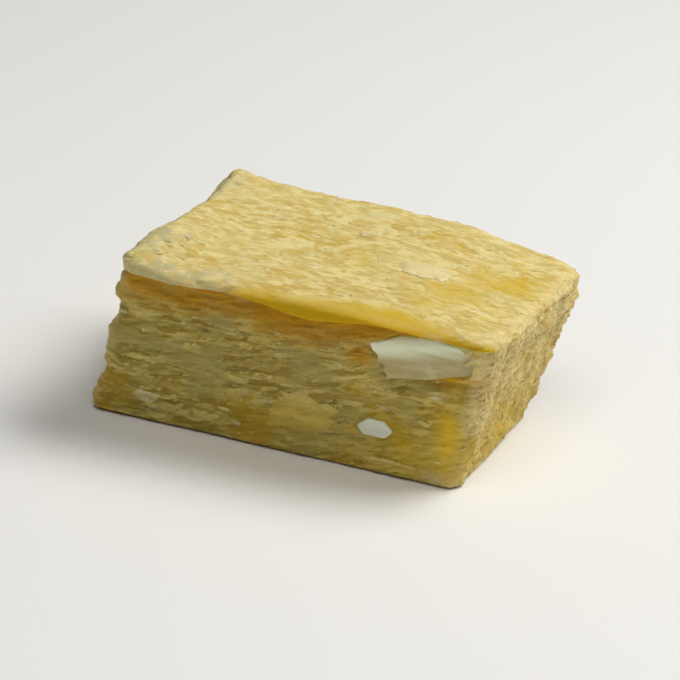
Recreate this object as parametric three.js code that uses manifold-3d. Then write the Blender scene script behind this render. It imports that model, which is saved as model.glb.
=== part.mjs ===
// Soan papdi: one hand-cut block of a pressed, layered, flaky sweet, with a chip of almond set in its front.
// Millimetres, +Z up, front towards -Y. It rests on its flat bottom, and the origin is in the middle of that.

import * as THREE from "three";
import { mergeVertices } from "three/addons/utils/BufferGeometryUtils.js";
import Module from "manifold-3d";

const wasm = await Module();
wasm.setup();

const { clamp, degToRad, lerp, smoothstep } = THREE.MathUtils;

// The plan of the block's top and of its bottom, as the knife left them, and its height
const HEIGHT = 20.9;
const TOP_CORNERS = {
  frontLeft: [-21.6, -18.2],
  frontRight: [22.0, -15.4],
  backRight: [26.2, 19.2],
  backLeft: [-20.9, 20.2],
};
const BOTTOM_CORNERS = {
  frontLeft: [-25.2, -13.7],
  frontRight: [19.6, -12.8],
  backRight: [21.9, 13.2],
  backLeft: [-24.6, 16.2],
};

// Edges: how far the rounding reaches in from the sides, and how far down and up
const HALF_SIZE = new THREE.Vector3(22.5, 17, HEIGHT / 2);
const SIDE_ROUNDING = 2.1;
const TOP_ROUNDING = 0.9;
const BOTTOM_ROUNDING = 0.5;

// The pressed top falls towards the right end, most at the back. At the left its back corner stands up, and a
// thick rim runs along the front half
const RIGHT_END_DROP = 2.2;
const DROP_STARTS_AT = 0.25;
const FRONT_SHARE_OF_DROP = 0.5;
const CORNER_PEAK = 0.9;
const RIM_RISE = 1.2;
const RIM_STARTS_AT = 0.6;
const TOP_SWELL = 0.2;

// The layers on the cut sides climb to the right, a little more steeply the further they go
const LAYER_PITCH = 1.45;
const LAYER_RUN = 8;
const LAYER_CLIMB = 0.13;
const LAYER_CLIMB_GAIN = 0.0018;
const FRONT_LAYER_DEPTH = 0.24;
const BACK_LAYER_DEPTH = 0.34;
const LEFT_LAYER_DEPTH = 0.4;
const RIGHT_LAYER_DEPTH = 0.3;

// The crust over the top: its thickness, how far it stands over the front, and the hollow under it there
const CRUST_THICKNESS = 0.95;
const LIP_SWELL = 1.1;
const LIP_SWELL_WIDTH = 0.3;
const CRUST_WAVER = 0.15;
const LIP_OVERHANG = 0.75;
const LIP_FADES_FROM = 0.45;
const LIP_ENDS_AT = 0.8;
const RECESS_DEPTH = 1.0;
const RECESS_REACH = 4.5;

// The left end breaks into ledges, and the crust bulges over its front half
const LEDGES = 2.8;
const LEDGE_DEPTH = 0.6;
const HIGHEST_LEDGE = 0.84;
const LEFT_BULGE = 1.5;

// The right end is broken rather than cut
const CRUMB_DEPTH = 0.45;
const CRUMB_SIZE = 2.2;

// Faces along the block's length and depth, up its sides and up the edge of the crust
const COLUMNS_ALONG = 26;
const COLUMNS_ACROSS = 20;
const SIDE_ROWS = 35;
const CRUST_ROWS = 4;
const ROWS = SIDE_ROWS + CRUST_ROWS;
const CROWDING = 1.25;
const ROUND_OFF = 1e-6;

// Flakes that lie on the faces: how thick, how deeply rooted, and how far one edge lifts
const FLAKE_PROUD = 0.3;
const FLAKE_ROOT = 1.1;
const FLAKE_LIFT = degToRad(4);
const FLAKE_SIDES = 7;
const FLAKE_UNEVENNESS = 0.4;
const FLAKE_SEED = 7;

// How far to each side the slope of a face is measured, on the unit block
const FRAME_STEP = 0.12;

// The large almond chip sits in a pocket under the lip, and the small one is grown into the face
const CHIP_DEPTH = 2.9;
const CHIP_PROUD = 0.75;
const CHIP_PLACE = new THREE.Vector3(14.1, -15.3, 16.7);
const CHIP_TILT = degToRad(13.5);
const CHIP_LEAN = degToRad(3);
const CHIP_TURN = degToRad(3.5);
const CHIP_SHOULDER = degToRad(30);
const CHIP_SHOULDER_HEIGHT = 0.6;
const POCKET_GAP = 0.32;
const POCKET_MOUTH = 4;
const SMALL_CHIP_SIZE = [4.4, 2.7];
const SMALL_CHIP_PROUD = 0.5;
const SMALL_CHIP_PLACE = [0.5, -1, 0.3];

const SWEET_COLOUR = 0xd2b163;
const ALMOND_COLOUR = 0xe9e2d0;

// Random numbers from 0 to 1 that are the same on every run
function seededRandom(seed) {
  let state = seed;
  return () => {
    state = (Math.imul(state, 1664525) + 1013904223) >>> 0;
    return state / 2 ** 32;
  };
}

// Smooth noise from -1 to 1, with one value at every whole step of u and of v
function grain(u, v, salt = 0) {
  const value = (i, j) => {
    const wave = Math.sin(i * 127.1 + j * 311.7 + salt * 74.7) * 43758.5453;
    return 2 * (wave - Math.floor(wave)) - 1;
  };
  const i = Math.floor(u);
  const j = Math.floor(v);
  const s = smoothstep(u - i, 0, 1);
  const t = smoothstep(v - j, 0, 1);
  return lerp(lerp(value(i, j), value(i + 1, j), s), lerp(value(i, j + 1), value(i + 1, j + 1), s), t);
}

// The plan of the top or the bottom: a and b run from -1 to 1 along the block's length and depth
function planOf(corners, a, b) {
  const along = (a + 1) / 2;
  const across = (b + 1) / 2;
  const mix = (axis) =>
    lerp(
      lerp(corners.frontLeft[axis], corners.frontRight[axis], along),
      lerp(corners.backLeft[axis], corners.backRight[axis], along),
      across,
    );
  return new THREE.Vector2(mix(0), mix(1));
}

// Height of the top over a place in the plan
function topHeight(a, b) {
  const share = lerp(FRONT_SHARE_OF_DROP, 1, (b + 1) / 2);
  const drop = RIGHT_END_DROP * share * smoothstep(a, DROP_STARTS_AT, 1.1);
  const peak = CORNER_PEAK * smoothstep(-a, 0.75, 1) * smoothstep(b, 0.6, 1);
  const rim = RIM_RISE * smoothstep(-a, RIM_STARTS_AT, 1) * smoothstep(-b, -0.6, 0.2);
  return HEIGHT - drop + peak + rim + TOP_SWELL * grain(4 * a, 3 * b, 1);
}

// Share of the height at which the crust begins: it is thickest at the middle of its length and at the rim
function crustUnderside(a) {
  const swell = LIP_SWELL * Math.exp(-((a / LIP_SWELL_WIDTH) ** 2));
  const rim = RIM_RISE * smoothstep(-a, RIM_STARTS_AT, 1);
  return 1 - (CRUST_THICKNESS + swell + rim + CRUST_WAVER * Math.sin(9 * a + 1)) / HEIGHT;
}

// Rounds the edges of the unit block: gives the rounded place and the way that its surface faces
function rounded(a, b, c) {
  const reach = new THREE.Vector3(SIDE_ROUNDING, SIDE_ROUNDING, c > 0.5 ? TOP_ROUNDING : BOTTOM_ROUNDING);
  const corner = new THREE.Vector3(a, b, 2 * c - 1).multiply(HALF_SIZE);
  const inner = HALF_SIZE.clone().sub(reach);
  const core = corner.clone().clamp(inner.clone().negate(), inner);
  const facing = corner.clone().sub(core).divide(reach).normalize();
  const place = core.add(facing.clone().multiply(reach)).divide(HALF_SIZE);
  return { a: place.x, b: place.y, c: (place.z + 1) / 2, facing };
}

// The hollow of the front under the lip, and the lip itself
function frontRelief(a, c) {
  const underside = crustUnderside(a);
  const run = 1 - smoothstep(a, LIP_FADES_FROM, LIP_ENDS_AT);
  if (c > underside + ROUND_OFF) return run * LIP_OVERHANG;
  return -run * RECESS_DEPTH * smoothstep(c, underside - RECESS_REACH / HEIGHT, underside);
}

// The left end: ledges one above the other, and the bulge of the crust
function leftRelief(b, c) {
  const ledges = LEDGE_DEPTH * Math.cos(2 * Math.PI * LEDGES * (c - HIGHEST_LEDGE) + grain(1.5 * b, 0, 2));
  const bulge = LEFT_BULGE * smoothstep(c, 0.8, 1) * (smoothstep(-b, 0.1, 0.6) - 0.5);
  return ledges + bulge;
}

// Relief of the sides, outwards, at a place of the unit block and at the point that it has in the plan
function sideRelief(a, b, c, plan, facing) {
  const climb = LAYER_CLIMB * plan.x + LAYER_CLIMB_GAIN * plan.x ** 2;
  const level = (c * HEIGHT - climb) / LAYER_PITCH;
  const layers = grain((plan.x + 0.8 * plan.y) / LAYER_RUN, level, 3);
  const front = Math.max(0, -facing.y);
  const back = Math.max(0, facing.y);
  const left = Math.max(0, -facing.x);
  const right = Math.max(0, facing.x);
  const depth =
    front * FRONT_LAYER_DEPTH + back * BACK_LAYER_DEPTH + left * LEFT_LAYER_DEPTH + right * RIGHT_LAYER_DEPTH;
  const crumbs = CRUMB_DEPTH * grain(plan.y / CRUMB_SIZE, (c * HEIGHT) / CRUMB_SIZE, 4);
  const foot = smoothstep(c, 0, 0.05);
  return foot * (depth * layers + front * frontRelief(a, c) + left * leftRelief(b, c) + right * crumbs);
}

// Where a place of the unit block lies on the finished block
function surfacePoint(a, b, c) {
  const soft = rounded(a, b, c);
  const plan = planOf(BOTTOM_CORNERS, soft.a, soft.b).lerp(planOf(TOP_CORNERS, soft.a, soft.b), soft.c);
  const out = sideRelief(a, b, c, plan, soft.facing);
  return new THREE.Vector3(
    plan.x + soft.facing.x * out,
    plan.y + soft.facing.y * out,
    soft.c * topHeight(soft.a, soft.b),
  );
}

// A closed geometry as a solid that can be joined and cut
function solidOf(geometry, matrix = new THREE.Matrix4()) {
  const bare = new THREE.BufferGeometry().setAttribute("position", geometry.getAttribute("position").clone());
  if (geometry.index) bare.setIndex(geometry.index.clone());
  const merged = mergeVertices(bare.applyMatrix4(matrix), 1e-4);
  const triVerts = new Uint32Array(merged.index.array);
  const vertProperties = new Float32Array(merged.getAttribute("position").array);
  return new wasm.Manifold(new wasm.Mesh({ numProp: 3, vertProperties, triVerts }));
}

// A solid as a geometry for a mesh
function geometryOf(solid) {
  const { vertProperties, triVerts } = solid.getMesh();
  const geometry = new THREE.BufferGeometry();
  geometry.setAttribute("position", new THREE.BufferAttribute(vertProperties, 3));
  geometry.setIndex(new THREE.BufferAttribute(triVerts, 1));
  geometry.computeVertexNormals();
  return geometry;
}

// The bare block: a box of many faces laid on the finished form. Its columns crowd towards the edges, and one
// of its rows follows the underside of the crust.
function bareBlock() {
  const box = new THREE.BoxGeometry(2, 2, ROWS, COLUMNS_ALONG, COLUMNS_ACROSS, ROWS);
  const crowd = (t) => Math.sin(CROWDING * t) / Math.sin(CROWDING);
  const position = box.getAttribute("position");
  for (let i = 0; i < position.count; i++) {
    const a = crowd(position.getX(i));
    const b = crowd(position.getY(i));
    const row = Math.round(position.getZ(i) + ROWS / 2);
    const underside = crustUnderside(a);
    const inCrust = (row - SIDE_ROWS) / CRUST_ROWS;
    const c = row > SIDE_ROWS ? lerp(underside, 1, inCrust) : (underside * row) / SIDE_ROWS;
    position.setXYZ(i, ...surfacePoint(a, b, clamp(c, 0, 1)));
  }
  return solidOf(box);
}

// The place and directions of a face at one of its points, for what lies on it: its y axis points up on the
// sides, and to the front on the top
function faceFrame(a, b, c) {
  const step = FRAME_STEP;
  const slope = (da, db, dc) =>
    surfacePoint(a + da, b + db, clamp(c + dc, 0, 1))
      .sub(surfacePoint(a - da, b - db, clamp(c - dc, 0, 1)))
      .normalize();
  const onTop = c === 1;
  const onEnd = Math.abs(a) === 1;
  const along = onEnd ? slope(0, step * a, 0) : slope(onTop ? -step : -step * b, 0, 0);
  const up = onTop ? slope(0, -step, 0) : slope(0, 0, step);
  const out = along.clone().cross(up).normalize();
  const frame = new THREE.Matrix4().makeBasis(along, out.clone().cross(along), out);
  return frame.setPosition(surfacePoint(a, b, c));
}

// A torn flake: a thin plate with an uneven outline, rooted in the face, its upper or front edge lifted
function flake(width, height, turn, random) {
  const outline = Array.from({ length: FLAKE_SIDES }, (_, i) => {
    const angle = ((i + 0.5 * random()) / FLAKE_SIDES) * 2 * Math.PI;
    const reach = 1 + FLAKE_UNEVENNESS * (random() - 0.5);
    return new THREE.Vector2((Math.cos(angle) * width * reach) / 2, (Math.sin(angle) * height * reach) / 2);
  });
  const depth = FLAKE_PROUD + FLAKE_ROOT;
  const plate = new THREE.ExtrudeGeometry(new THREE.Shape(outline), { depth, bevelEnabled: false });
  return plate.rotateZ(turn).translate(0, 0, -FLAKE_ROOT).rotateX(FLAKE_LIFT);
}

// The flakes that stand out most: place on the unit block, width and height, and turn
const LARGE_FLAKES = [
  { at: [0.09, -1, 0.275], size: [8.4, 6.2], turn: 0.25 },
  { at: [0.36, -0.04, 1], size: [6.0, 5.4], turn: 0.5 },
  { at: [-0.05, 0.38, 1], size: [3.4, 1.8], turn: 0.6 },
  { at: [-0.72, -1, 0.17], size: [3.4, 1.8], turn: 0.2 },
  { at: [0.62, -1, 0.075], size: [7.0, 1.8], turn: 0.1 },
];

// Smaller flakes are strewn by a rule: the face that u and v run over, how many, and their largest size
const STREWN_FLAKES = [
  { face: (u, v) => [u, v, 1], count: 8, size: 3.4 },
  { face: (u, v) => [u, 1, 0.5 + 0.45 * v], count: 6, size: 4.2 },
  { face: (u, v) => [-1, u, 0.5 + 0.45 * v], count: 3, size: 3.2 },
  { face: (u, v) => [1, u, 0.5 + 0.42 * v], count: 5, size: 2.8 },
];

function flakes() {
  const random = seededRandom(FLAKE_SEED);
  const large = LARGE_FLAKES.map(({ at, size, turn }) => {
    return solidOf(flake(...size, turn, random), faceFrame(...at));
  });
  const strewn = STREWN_FLAKES.flatMap(({ face, count, size }) =>
    Array.from({ length: count }, (_, i) => {
      const u = 0.85 * (2 * ((i + 0.5) / count) - 1);
      const v = 0.8 * (2 * ((i * 0.618 + 0.1) % 1) - 1);
      const width = size * (0.65 + 0.35 * random());
      const plate = flake(width, width * (0.45 + 0.35 * random()), Math.PI * random(), random);
      return solidOf(plate, faceFrame(...face(u, v)));
    }),
  );
  return [...large, ...strewn];
}

// The place of the large almond chip: its own z axis points out of the front
function chipFrame() {
  const out = new THREE.Matrix4().makeRotationX(Math.PI / 2 + CHIP_LEAN);
  const tilt = new THREE.Matrix4().makeRotationY(-CHIP_TILT);
  const turn = new THREE.Matrix4().makeRotationZ(CHIP_TURN);
  return new THREE.Matrix4().makeTranslation(CHIP_PLACE).multiply(turn).multiply(tilt).multiply(out);
}

// The outline of the large almond chip: a slanting wedge with a notch in its left end
function chipOutline() {
  const corners = [
    [-6.4, 1.8],
    [-3.0, 2.5],
    [0.8, 2.4],
    [4.2, 1.3],
    [6.1, 0.1],
    [6.0, -2.2],
    [0.2, -2.5],
    [-4.9, -2.3],
    [-5.3, 0.2],
  ];
  return new THREE.Shape(corners.map(([u, v]) => new THREE.Vector2(u, v)));
}

// The large almond chip: its outer face is split into a front and a shoulder that leans back
function almondChip() {
  const body = new THREE.ExtrudeGeometry(chipOutline(), { depth: CHIP_DEPTH, bevelEnabled: false });
  body.translate(0, 0, CHIP_PROUD - CHIP_DEPTH);
  const knife = new THREE.BoxGeometry(20, 8, 8)
    .translate(0, 4, 4)
    .rotateX(-CHIP_SHOULDER)
    .translate(0, CHIP_SHOULDER_HEIGHT, CHIP_PROUD);
  return solidOf(body).subtract(solidOf(knife)).transform(chipFrame().elements);
}

// The pocket that holds the chip: its outline with a margin all round, open to the front
function chipPocket() {
  const body = new THREE.ExtrudeGeometry(chipOutline(), {
    depth: CHIP_DEPTH + POCKET_MOUTH,
    bevelSize: POCKET_GAP,
    bevelThickness: POCKET_GAP,
    bevelSegments: 1,
  }).translate(0, 0, CHIP_PROUD - CHIP_DEPTH - POCKET_GAP);
  return solidOf(body, chipFrame());
}

// The small almond chip, fused to the front
function smallChip() {
  const [width, height] = SMALL_CHIP_SIZE;
  const outline = Array.from({ length: 6 }, (_, i) => {
    const angle = (i * Math.PI) / 3 + 0.2 * Math.sin(3 * i);
    return new THREE.Vector2((Math.cos(angle) * width) / 2, (Math.sin(angle) * height) / 2);
  });
  const depth = SMALL_CHIP_PROUD + FLAKE_ROOT;
  const plate = new THREE.ExtrudeGeometry(new THREE.Shape(outline), { depth, bevelEnabled: false });
  return solidOf(plate.translate(0, 0, -FLAKE_ROOT), faceFrame(...SMALL_CHIP_PLACE));
}

function papdiBlock() {
  const joined = [...flakes(), smallChip()].reduce((block, piece) => block.add(piece), bareBlock());
  return joined.subtract(chipPocket());
}

function meshOf(name, solid, color, roughness) {
  const material = new THREE.MeshStandardMaterial({ color, roughness, metalness: 0 });
  const mesh = new THREE.Mesh(geometryOf(solid), material);
  mesh.name = name;
  return mesh;
}

const sweet = new THREE.Group();
sweet.add(meshOf("papdi_block", papdiBlock(), SWEET_COLOUR, 0.7));
sweet.add(meshOf("almond_chip", almondChip(), ALMOND_COLOUR, 0.45));

// The origin goes to the middle of the base
const extent = new THREE.Box3().setFromObject(sweet);
const middle = extent.getCenter(new THREE.Vector3());
sweet.position.set(-middle.x, -middle.y, -extent.min.z);

const soanPapdi = new THREE.Group();
soanPapdi.add(sweet);

export default soanPapdi;
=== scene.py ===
"""Soan papdi: one hand-cut block of pressed, layered, flaky sweet with chips of almond in it.

Laid out as an add-on: each operator makes one piece, or a group of like pieces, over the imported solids.
The form functions repeat the solid's own sizes, in millimetres, and the pieces add shreds and crumbs.
"""

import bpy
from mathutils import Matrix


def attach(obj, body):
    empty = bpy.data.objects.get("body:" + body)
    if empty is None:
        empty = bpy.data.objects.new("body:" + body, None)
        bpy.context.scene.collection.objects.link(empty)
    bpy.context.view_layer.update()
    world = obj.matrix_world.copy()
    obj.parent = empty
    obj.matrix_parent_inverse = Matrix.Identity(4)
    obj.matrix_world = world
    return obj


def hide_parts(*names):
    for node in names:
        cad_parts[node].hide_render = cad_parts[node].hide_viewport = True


bl_info = {
    "name": "Soan papdi",
    "version": (1, 0, 0),
    "blender": (4, 5, 0),
    "location": "View3D > Sidebar > Soan papdi",
    "description": "Makes a block of flaky layered sweet with almond chips, over its packed solids",
    "category": "Add Mesh",
}

import math

import bmesh
import bpy
import numpy as np
from mathutils import Matrix, Vector
from mathutils.bvhtree import BVHTree

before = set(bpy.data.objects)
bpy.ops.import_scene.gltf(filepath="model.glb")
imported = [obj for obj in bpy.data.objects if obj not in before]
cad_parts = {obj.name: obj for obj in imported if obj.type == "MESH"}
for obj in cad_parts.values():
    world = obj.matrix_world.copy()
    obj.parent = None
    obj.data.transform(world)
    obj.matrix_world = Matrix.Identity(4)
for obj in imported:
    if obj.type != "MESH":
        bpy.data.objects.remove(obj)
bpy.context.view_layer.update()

MM = 0.001
NEARLY_NOTHING = 1e-9
BODY = "root"

# The plan of the block's top and of its bottom, as the knife left them, and its height
HEIGHT = 20.9
TOP_CORNERS = np.array([[(-21.6, -18.2), (22.0, -15.4)], [(-20.9, 20.2), (26.2, 19.2)]])
BOTTOM_CORNERS = np.array([[(-25.2, -13.7), (19.6, -12.8)], [(-24.6, 16.2), (21.9, 13.2)]])

# From the point that the corners are measured from to the middle of the base
TO_BASE_MIDDLE = np.array([0.0659, -0.6135, 0.0])

# Edges: how far the rounding reaches in from the sides, and how far down and up
HALF_SIZE = np.array([22.5, 17.0, HEIGHT / 2])
SIDE_ROUNDING = 2.1
TOP_ROUNDING = 0.9
BOTTOM_ROUNDING = 0.5

# The pressed top falls towards the right end, most at the back. At the left its back corner stands up,
# and a thick rim runs along the front half
RIGHT_END_DROP = 2.2
DROP_STARTS_AT = 0.25
FRONT_SHARE_OF_DROP = 0.5
CORNER_PEAK = 0.9
RIM_RISE = 1.2
RIM_STARTS_AT = 0.6
TOP_SWELL = 0.2

# The layers on the cut sides climb to the right, a little more steeply the further they go
LAYER_PITCH = 1.45
LAYER_RUN = 8
LAYER_CLIMB = 0.13
LAYER_CLIMB_GAIN = 0.0018
FRONT_LAYER_DEPTH = 0.24
BACK_LAYER_DEPTH = 0.34
LEFT_LAYER_DEPTH = 0.4
RIGHT_LAYER_DEPTH = 0.22

# The crust over the top: its thickness, how far it stands over the front, and the hollow under it there
CRUST_THICKNESS = 0.95
LIP_SWELL = 1.1
LIP_SWELL_WIDTH = 0.3
CRUST_WAVER = 0.15
LIP_OVERHANG = 0.75
LIP_EDGE = 0.12 / HEIGHT
LIP_FADES_FROM = 0.45
LIP_ENDS_AT = 0.8
RECESS_DEPTH = 1.0
RECESS_REACH = 4.5
# How far down the hollow under the lip its painted shade and glow reach, as a share of the recess's reach
HOLLOW_PAINTED_SHADE_REACH = 1.1
GOLD_BAND = 2.9
GOLD_BAND_SWELL = 1.2
GOLD_BAND_WIDENS = (-0.15, 0.1)
GOLD_BAND_WAVER = 0.25
GOLD_BAND_STARTS = (-0.5, -0.22)
GOLD_BAND_ENDS = (0.5, 0.85)
GOLD_BAND_LOSS = 0.75
LIP_FACE_ENDS = (0.72, 0.86)
RIM_FROM = 0.955
# The strip right under the lip where the painted shade and glow are strongest, in millimetres
PAINTED_GLOW_STRIP = 1.7

# The left end breaks into ledges, and the crust bulges over its front half
LEDGES = 2.8
LEDGE_DEPTH = 0.45
HIGHEST_LEDGE = 0.84
LEFT_BULGE = 1.5

# The right end is broken rather than cut
CRUMB_DEPTH = 0.34
CRUMB_SIZE = 2.2
SMALL_CRUMB_SIZE = 0.8
SMALLEST_CRUMB_SIZE = 0.38

# The corner between the right end and the back is worn round
WORN_CORNER = (26.2, 19.2, 18.8)
WORN_CORNER_REACH = (2.6, 2.6, 3.0)
WORN_CORNER_DEPTH = 1.1

# Faces of the fine block
COLUMNS_ALONG = 170
COLUMNS_ACROSS = 142
SIDE_ROWS = 88
EDGE_ROWS = 7
CRUST_ROWS = 13
BOTTOM_RINGS = (0.98, 0.95, 0.91, 0.86)

# Shreds and pressed flakes: how much they slope and lean, how ragged they are, and the fine grain over all
SHRED_SLOPE = 0.15
SHRED_LEAN = 0.6
SHRED_RAGGEDNESS = 0.35
PRESSED_TURN = 0.6
PRESSED_RAGGEDNESS = 0.3
FINE_RELIEF = 0.035

# How deep the shreds are on the front, the back, the left and the right, as shares of the deepest
SHRED_SHARES = (0.75, 0.85, 1.0, 0.85)

# How far the back and the left end take the colours of the top, out of the cut sides' painted shade: nothing
# shades these two
PAINTED_SHADE_LIFT = 0.58

# Torn flakes: how far their free edge stands up, how deeply they are rooted, and how ragged they are
LARGE_FLAKE_PROUD = 0.34
TOP_FLAKE_PROUD = 0.24
SMALL_FLAKE_PROUD = 0.08
FLAKE_CROWN = 0.55
FLAKE_TUCK = 0.03
FLAKE_ROOT = 0.4
FLAKE_SIDES = 7
FLAKE_UNEVENNESS = 0.4
FLAKE_RAGGEDNESS = 0.13
FLAKE_FRINGE = 0.13
TOP_FLAKE_FRINGE = 0.04
FRINGE_PITCH = 0.3
FRONT_FLAKE_PALENESS = 0.38
FLAKE_SEED = 7
FRAME_STEP = 0.12

# The large almond chip sits in a pocket under the lip, and the small one lies in the face
CHIP_DEPTH = 2.9
CHIP_PROUD = 0.75
CHIP_PLACE = (14.1, -15.3, 16.7)
CHIP_TILT = math.radians(13.5)
CHIP_LEAN = math.radians(3)
CHIP_TURN = math.radians(3.5)
CHIP_SHOULDER = math.radians(30)
CHIP_SHOULDER_HEIGHT = 0.6
CHIP_BURIED_FROM = 4.1
CHIP_OUTLINE = np.array([
    (-6.4, 1.8), (-3.0, 2.5), (0.8, 2.4), (4.2, 1.3), (6.1, 0.1),
    (6.0, -2.2), (0.2, -2.5), (-4.9, -2.3), (-5.3, 0.2),
])
CHIP_TEETH = np.array([(-4.5, -1.7), (-5.2, -1.2), (-4.7, -0.5), (-5.6, 0.0), (-5.3, 0.7), (-6.0, 1.1)])
CHIP_EDGE_WEAR = 0.3
CHIP_FACE_SIZE = 0.16
CHIP_BACKING = 0.7
CHIP_COVER = 0.3
CHIP_RIPPLE = 0.07
CHIP_FINE_RIPPLE = 0.05
CHIP_SIDE_RIPPLE = 0.06
SMALL_CHIP_SIZE = (4.4, 2.7)
SMALL_CHIP_CORNERS = 6
SMALL_CHIP_PROUD = 0.5
SMALL_CHIP_ROOT = 1.1
SMALL_CHIP_PLACE = (0.5, -1, 0.3)
SMALL_CHIP_FRESHNESS = 0.7
SMALL_CHIP_COOLNESS = 0.6


# Form


def smooth(x, low, high):
    """Eases from 0 at low to 1 at high."""
    t = np.clip((x - low) / (high - low), 0, 1)
    return t * t * (3 - 2 * t)


def grain(u, v, salt=0):
    """Smooth noise from -1 to 1, with one value at every whole step of u and of v."""

    def value(i, j):
        wave = np.sin(i * 127.1 + j * 311.7 + salt * 74.7) * 43758.5453
        return 2 * (wave - np.floor(wave)) - 1

    i, j = np.floor(u), np.floor(v)
    s, t = smooth(u - i, 0, 1), smooth(v - j, 0, 1)
    near = value(i, j) * (1 - s) + value(i + 1, j) * s
    far = value(i, j + 1) * (1 - s) + value(i + 1, j + 1) * s
    return near * (1 - t) + far * t


def plan_of(corners, a, b):
    """The plan of the top or the bottom: a and b run from -1 to 1 along the block's length and depth."""
    along, across = (a[..., None] + 1) / 2, (b[..., None] + 1) / 2
    front = corners[0, 0] * (1 - along) + corners[0, 1] * along
    back = corners[1, 0] * (1 - along) + corners[1, 1] * along
    return front * (1 - across) + back * across


def top_height(a, b):
    """Height of the top over a place in the plan."""
    share = FRONT_SHARE_OF_DROP + (1 - FRONT_SHARE_OF_DROP) * (b + 1) / 2
    drop = RIGHT_END_DROP * share * smooth(a, DROP_STARTS_AT, 1.1)
    peak = CORNER_PEAK * smooth(-a, 0.75, 1) * smooth(b, 0.6, 1)
    rim = RIM_RISE * smooth(-a, RIM_STARTS_AT, 1) * smooth(-b, -0.6, 0.2)
    return HEIGHT - drop + peak + rim + TOP_SWELL * grain(4 * a, 3 * b, 1)


def crust_underside(a):
    """Share of the height at which the crust begins: it is thickest at mid length and at the left rim."""
    swell = LIP_SWELL * np.exp(-((a / LIP_SWELL_WIDTH) ** 2))
    rim = RIM_RISE * smooth(-a, RIM_STARTS_AT, 1)
    return 1 - (CRUST_THICKNESS + swell + rim + CRUST_WAVER * np.sin(9 * a + 1)) / HEIGHT


def rounded(a, b, c):
    """Rounds the edges of the unit block: gives the rounded place and the way that its surface faces."""
    side = np.full_like(a, SIDE_ROUNDING)
    reach = np.stack([side, side, np.where(c > 0.5, TOP_ROUNDING, BOTTOM_ROUNDING)], -1)
    corner = np.stack([a, b, 2 * c - 1], -1) * HALF_SIZE
    core = np.clip(corner, reach - HALF_SIZE, HALF_SIZE - reach)
    facing = (corner - core) / reach
    facing /= np.linalg.norm(facing, axis=-1, keepdims=True)
    place = (core + facing * reach) / HALF_SIZE
    return place[..., 0], place[..., 1], (place[..., 2] + 1) / 2, facing


def lip_run(a):
    """How much of the lip there is along the front: it fades out before the right end."""
    return 1 - smooth(a, LIP_FADES_FROM, LIP_ENDS_AT)


def front_relief(a, c):
    """The hollow of the front under the lip, and the lip itself."""
    underside = crust_underside(a)
    lip = smooth(c, underside - LIP_EDGE, underside + LIP_EDGE)
    hollow = RECESS_DEPTH * smooth(c, underside - RECESS_REACH / HEIGHT, underside)
    return lip_run(a) * (lip * LIP_OVERHANG - (1 - lip) * hollow)


def left_relief(b, c):
    """The left end: ledges one above the other, and the bulge of the crust."""
    turn = 2 * np.pi * LEDGES * (c - HIGHEST_LEDGE) + grain(1.5 * b, 0 * b, 2)
    bulge = LEFT_BULGE * smooth(c, 0.8, 1) * (smooth(-b, 0.1, 0.6) - 0.5)
    return LEDGE_DEPTH * np.cos(turn) + bulge


def layer_level(x, height):
    """Height measured along the layers, which climb to the right."""
    return height - LAYER_CLIMB * x - LAYER_CLIMB_GAIN * x**2


def side_shares(facing):
    """How much each point faces the front, the back, the left and the right."""
    x, y = facing[..., 0], facing[..., 1]
    return np.maximum(0, -y), np.maximum(0, y), np.maximum(0, -x), np.maximum(0, x)


def side_relief(a, b, c, plan, facing):
    """Relief of the sides, outwards, at a place of the unit block and its point in the plan."""
    x, y = plan[..., 0], plan[..., 1]
    level = layer_level(x, c * HEIGHT) / LAYER_PITCH
    layers = grain((x + 0.8 * y) / LAYER_RUN, level, 3)
    front, back, left, right = side_shares(facing)
    depth = front * FRONT_LAYER_DEPTH + back * BACK_LAYER_DEPTH
    depth = depth + left * LEFT_LAYER_DEPTH + right * RIGHT_LAYER_DEPTH
    crumbs = CRUMB_DEPTH * grain(y / CRUMB_SIZE, c * HEIGHT / CRUMB_SIZE, 4)
    foot = smooth(c, 0, 0.05)
    return foot * (depth * layers + front * front_relief(a, c) + left * left_relief(b, c) + right * crumbs)


def surface(a, b, c):
    """Where places of the unit block lie on the finished block, in millimetres, and the way they face."""
    soft_a, soft_b, soft_c, facing = rounded(a, b, c)
    low, high = plan_of(BOTTOM_CORNERS, soft_a, soft_b), plan_of(TOP_CORNERS, soft_a, soft_b)
    plan = low * (1 - soft_c[..., None]) + high * soft_c[..., None]
    out = side_relief(a, b, c, plan, facing)
    points = np.empty(a.shape + (3,))
    points[..., :2] = plan + facing[..., :2] * out[..., None]
    points[..., 2] = soft_c * top_height(soft_a, soft_b)
    return points + TO_BASE_MIDDLE, facing


def face_frame(a, b, c):
    """The place and directions of a face at one of its points, for what lies on it."""

    def at(da, db, dc, sign):
        height = min(max(c + sign * dc, 0.0), 1.0)
        return Vector(surface(*(np.array(v, float) for v in (a + sign * da, b + sign * db, height)))[0])

    def slope(da, db, dc):
        return (at(da, db, dc, 1) - at(da, db, dc, -1)).normalized()

    step = FRAME_STEP
    if abs(a) == 1:
        along = slope(0, step * a, 0)
    else:
        along = slope(-step if c == 1 else -step * b, 0, 0)
    up = slope(0, -step, 0) if c == 1 else slope(0, 0, step)
    out = along.cross(up).normalized()
    turned = Matrix((along, out.cross(along), out)).transposed().to_4x4()
    return Matrix.Translation(at(0, 0, 0, 1)) @ turned


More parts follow.
